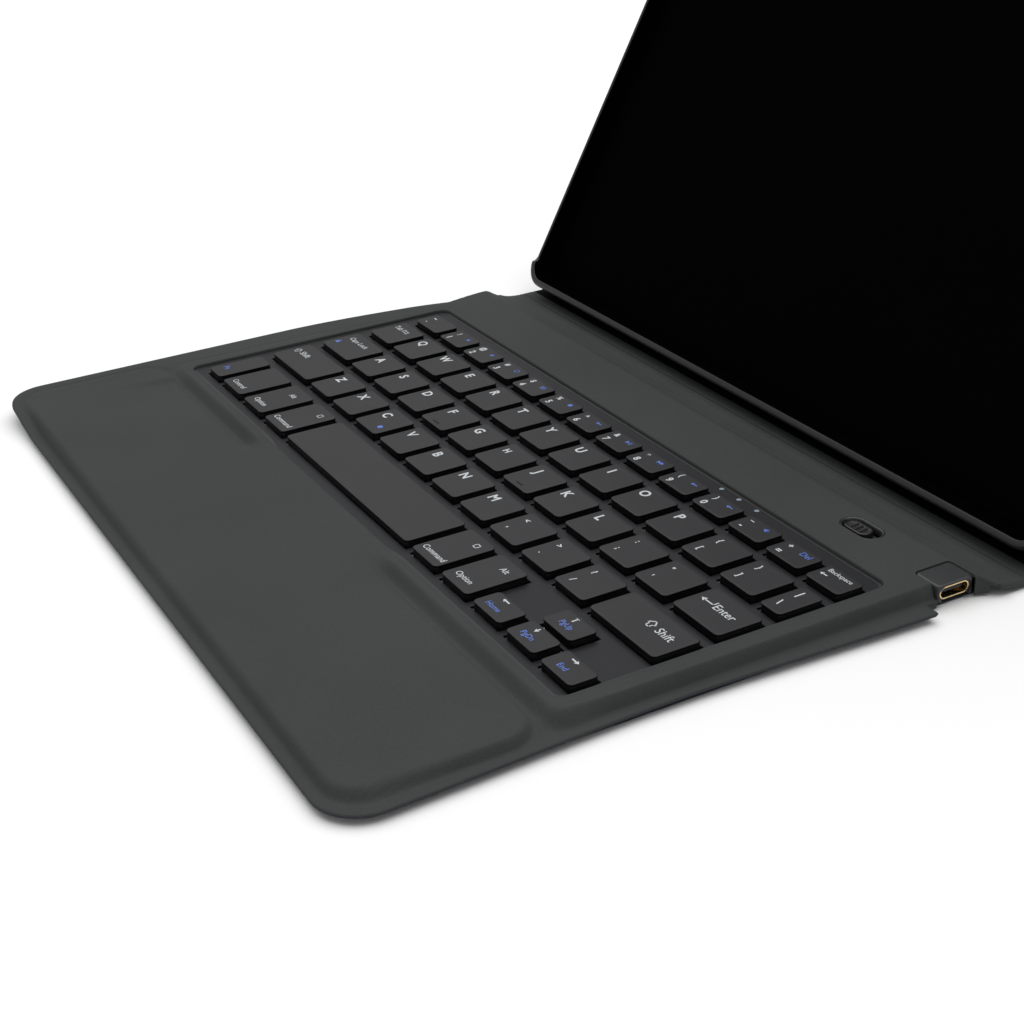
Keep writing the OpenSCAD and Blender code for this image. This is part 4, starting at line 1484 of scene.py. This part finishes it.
@dataclass
class Spine:
    """The flexible fabric between base and tray, in two halves that each bend at one fold."""

    shop: Workshop
    place: TrayFrame
    base: Base
    half_width: float = 125.2
    thickness: float = 1.0
    middle: float = 94.0
    # Where the black end starts: partly a dark hem, partly painted shade under the tray's lip.
    hem: float = 98.35
    level: float = 1.62
    gap_to_tray: float = 1.45

    def profile(self) -> np.ndarray:
        """The strip's line from the base to the tray's back, in y and z.

        Returns:
            Array of shape (points, 2): off the base's rear slope, flat on the table, then
            round the rear fold and up the tray's back.
        """
        start = [(self.base.back - 0.2, self.base.rear_top), (85.4, 2.85), (86.4, 2.45), (87.6, 2.1),
                 (89.0, 1.85), (90.6, 1.7), (91.6, 1.66), (92.2, 1.52), (92.8, 1.64),
                 (self.middle, self.level)]
        flat = [(y, self.level) for y in (95.2, 96.4, 97.6, 98.3, 98.4, 99.4, 100.6)]
        inside = self.place.tray(np.array([[0.0, y, self.gap_to_tray] for y in (2.4, 3.4, 4.6, 5.6)]))[:, 1:]
        turn = [(102.0, 1.68), (102.9, 1.95)]
        return np.array(start + flat + turn + [tuple(p) for p in inside])

    def strip(self, line: np.ndarray) -> Surface:
        """The fabric over a stretch of the line, with points every few millimetres across."""
        x = np.linspace(-self.half_width, self.half_width, 100)
        grid = np.empty((len(line), len(x), 3))
        grid[..., 0] = x
        grid[..., 1] = line[:, None, 0]
        grid[..., 2] = line[:, None, 1]
        return sheet_grid(grid)

    def build(self) -> None:
        """Makes both halves of the strip."""
        line = self.profile()
        split = int(np.argmin(np.abs(line[:, 0] - self.middle)))
        halves = (
            ("spine_front_sheet", line[:split + 1], "spine_fabric", ("base", "spine"), (84.6, 87.2)),
            ("spine_rear_sheet", line[split:], "tray_hem", ("spine", "tray"), (100.5, 104.0)))
        for name, points, node, bodies, span in halves:
            made = self.shop.mesh(name, self.strip(points), 60.0)
            self.shop.thicken(made, self.thickness)
            self.shop.settle(made)
            self.shop.dress(made, Look.COVER_FABRIC, None, "fabric", (node,))
            # From there back, the sheet gets the black finish: partly a dark hem, partly painted shade under
            # the tray's lip.
            self.shop.second_look(made, Look.HEM, lambda centre, normal: centre[:, 1] > self.hem)
            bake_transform(made)


# ---------------------------------------------------------------- studio


@dataclass(frozen=True)
class Studio:
    """Floor, light and camera."""

    azimuth: float = 62.1
    elevation: float = 26.69
    roll: float = -2.67
    eye: tuple = (0.39539, -0.19033, 0.21367)
    lens: float = 62.12
    lamp_watts: float = 47.5
    world_light: float = 0.42

    def camera(self) -> None:
        """Puts the camera where it looks along the given azimuth and elevation."""
        az, el, roll = (math.radians(v) for v in (self.azimuth, self.elevation, self.roll))
        back = Vector((math.sin(az) * math.cos(el), -math.cos(az) * math.cos(el), math.sin(el)))
        right = (-back).cross(Vector((0, 0, 1))).normalized()
        up = right.cross(-back)
        across = math.cos(roll) * right + math.sin(roll) * up
        above = -math.sin(roll) * right + math.cos(roll) * up
        data = bpy.data.cameras.new("camera")
        data.lens, data.sensor_width, data.clip_start = self.lens, 36.0, 0.01
        made = bpy.data.objects.new("camera", data)
        turn = Matrix((across, above, back)).transposed().to_4x4()
        made.matrix_world = Matrix.Translation(Vector(self.eye)) @ turn
        bpy.context.scene.collection.objects.link(made)
        bpy.context.scene.camera = made

    def lamp(self, name: str, place: tuple, aim: tuple, size: float, power: float) -> None:
        """Adds one square soft light.

        Args:
            name: Its name.
            place: Where it hangs, in metres.
            aim: The point that it faces.
            size: Its side, in metres.
            power: Its power, in watts.
        """
        data = bpy.data.lights.new(name, "AREA")
        data.size, data.energy = size, power
        made = bpy.data.objects.new(name, data)
        made.location = place
        made.rotation_euler = (Vector(aim) - Vector(place)).to_track_quat("-Z", "Y").to_euler()
        bpy.context.scene.collection.objects.link(made)

    def floor(self) -> None:
        """Adds the pale floor."""
        data = bpy.data.meshes.new("floor")
        far = 6.0
        data.from_pydata([(-far, -far, 0), (far, -far, 0), (far, far, 0), (-far, far, 0)], [], [(0, 1, 2, 3)])
        made = bpy.data.objects.new("floor", data)
        material = bpy.data.materials.new("floor")
        material.use_nodes = True
        shader = next(n for n in material.node_tree.nodes if n.type == "BSDF_PRINCIPLED")
        shader.inputs["Base Color"].default_value = (0.93, 0.93, 0.93, 1)
        shader.inputs["Roughness"].default_value = 0.9
        shader.inputs["Specular IOR Level"].default_value = 0.1
        data.materials.append(material)
        bpy.context.scene.collection.objects.link(made)

    def build(self) -> None:
        """Makes the whole studio."""
        scene = bpy.context.scene
        world = bpy.data.worlds.new("studio")
        scene.world = world
        world.use_nodes = True
        background = next(n for n in world.node_tree.nodes if n.type == "BACKGROUND")
        background.inputs["Color"].default_value = (1, 1, 1, 1)
        background.inputs["Strength"].default_value = self.world_light
        scene.view_settings.view_transform = "Standard"
        self.floor()
        self.lamp("overhead", (-0.45, 0.45, 1.7), (-0.35, 0.3, 0), 3.2, self.lamp_watts)
        self.camera()


def main() -> None:
    """Builds the studio, then each sub-assembly in order."""
    logging.basicConfig(level=logging.INFO, format="%(message)s")
    Studio().build()
    shop = Workshop()
    place = TrayFrame()
    base = Base(shop)
    base.build()
    Keyboard(shop).build()
    tray = Tray(shop, place)
    tray.build()
    Kickstand(shop, place, tray).build()
    Spine(shop, place, base).build()
    for look, nodes in NODE_LOOKS.items():
        for node in nodes:
            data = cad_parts[node].data
            data.materials.clear()
            data.materials.append(shop.material(look))
    LOG.info("%d pieces made", shop.made)


if __name__ == "__main__":
    main()
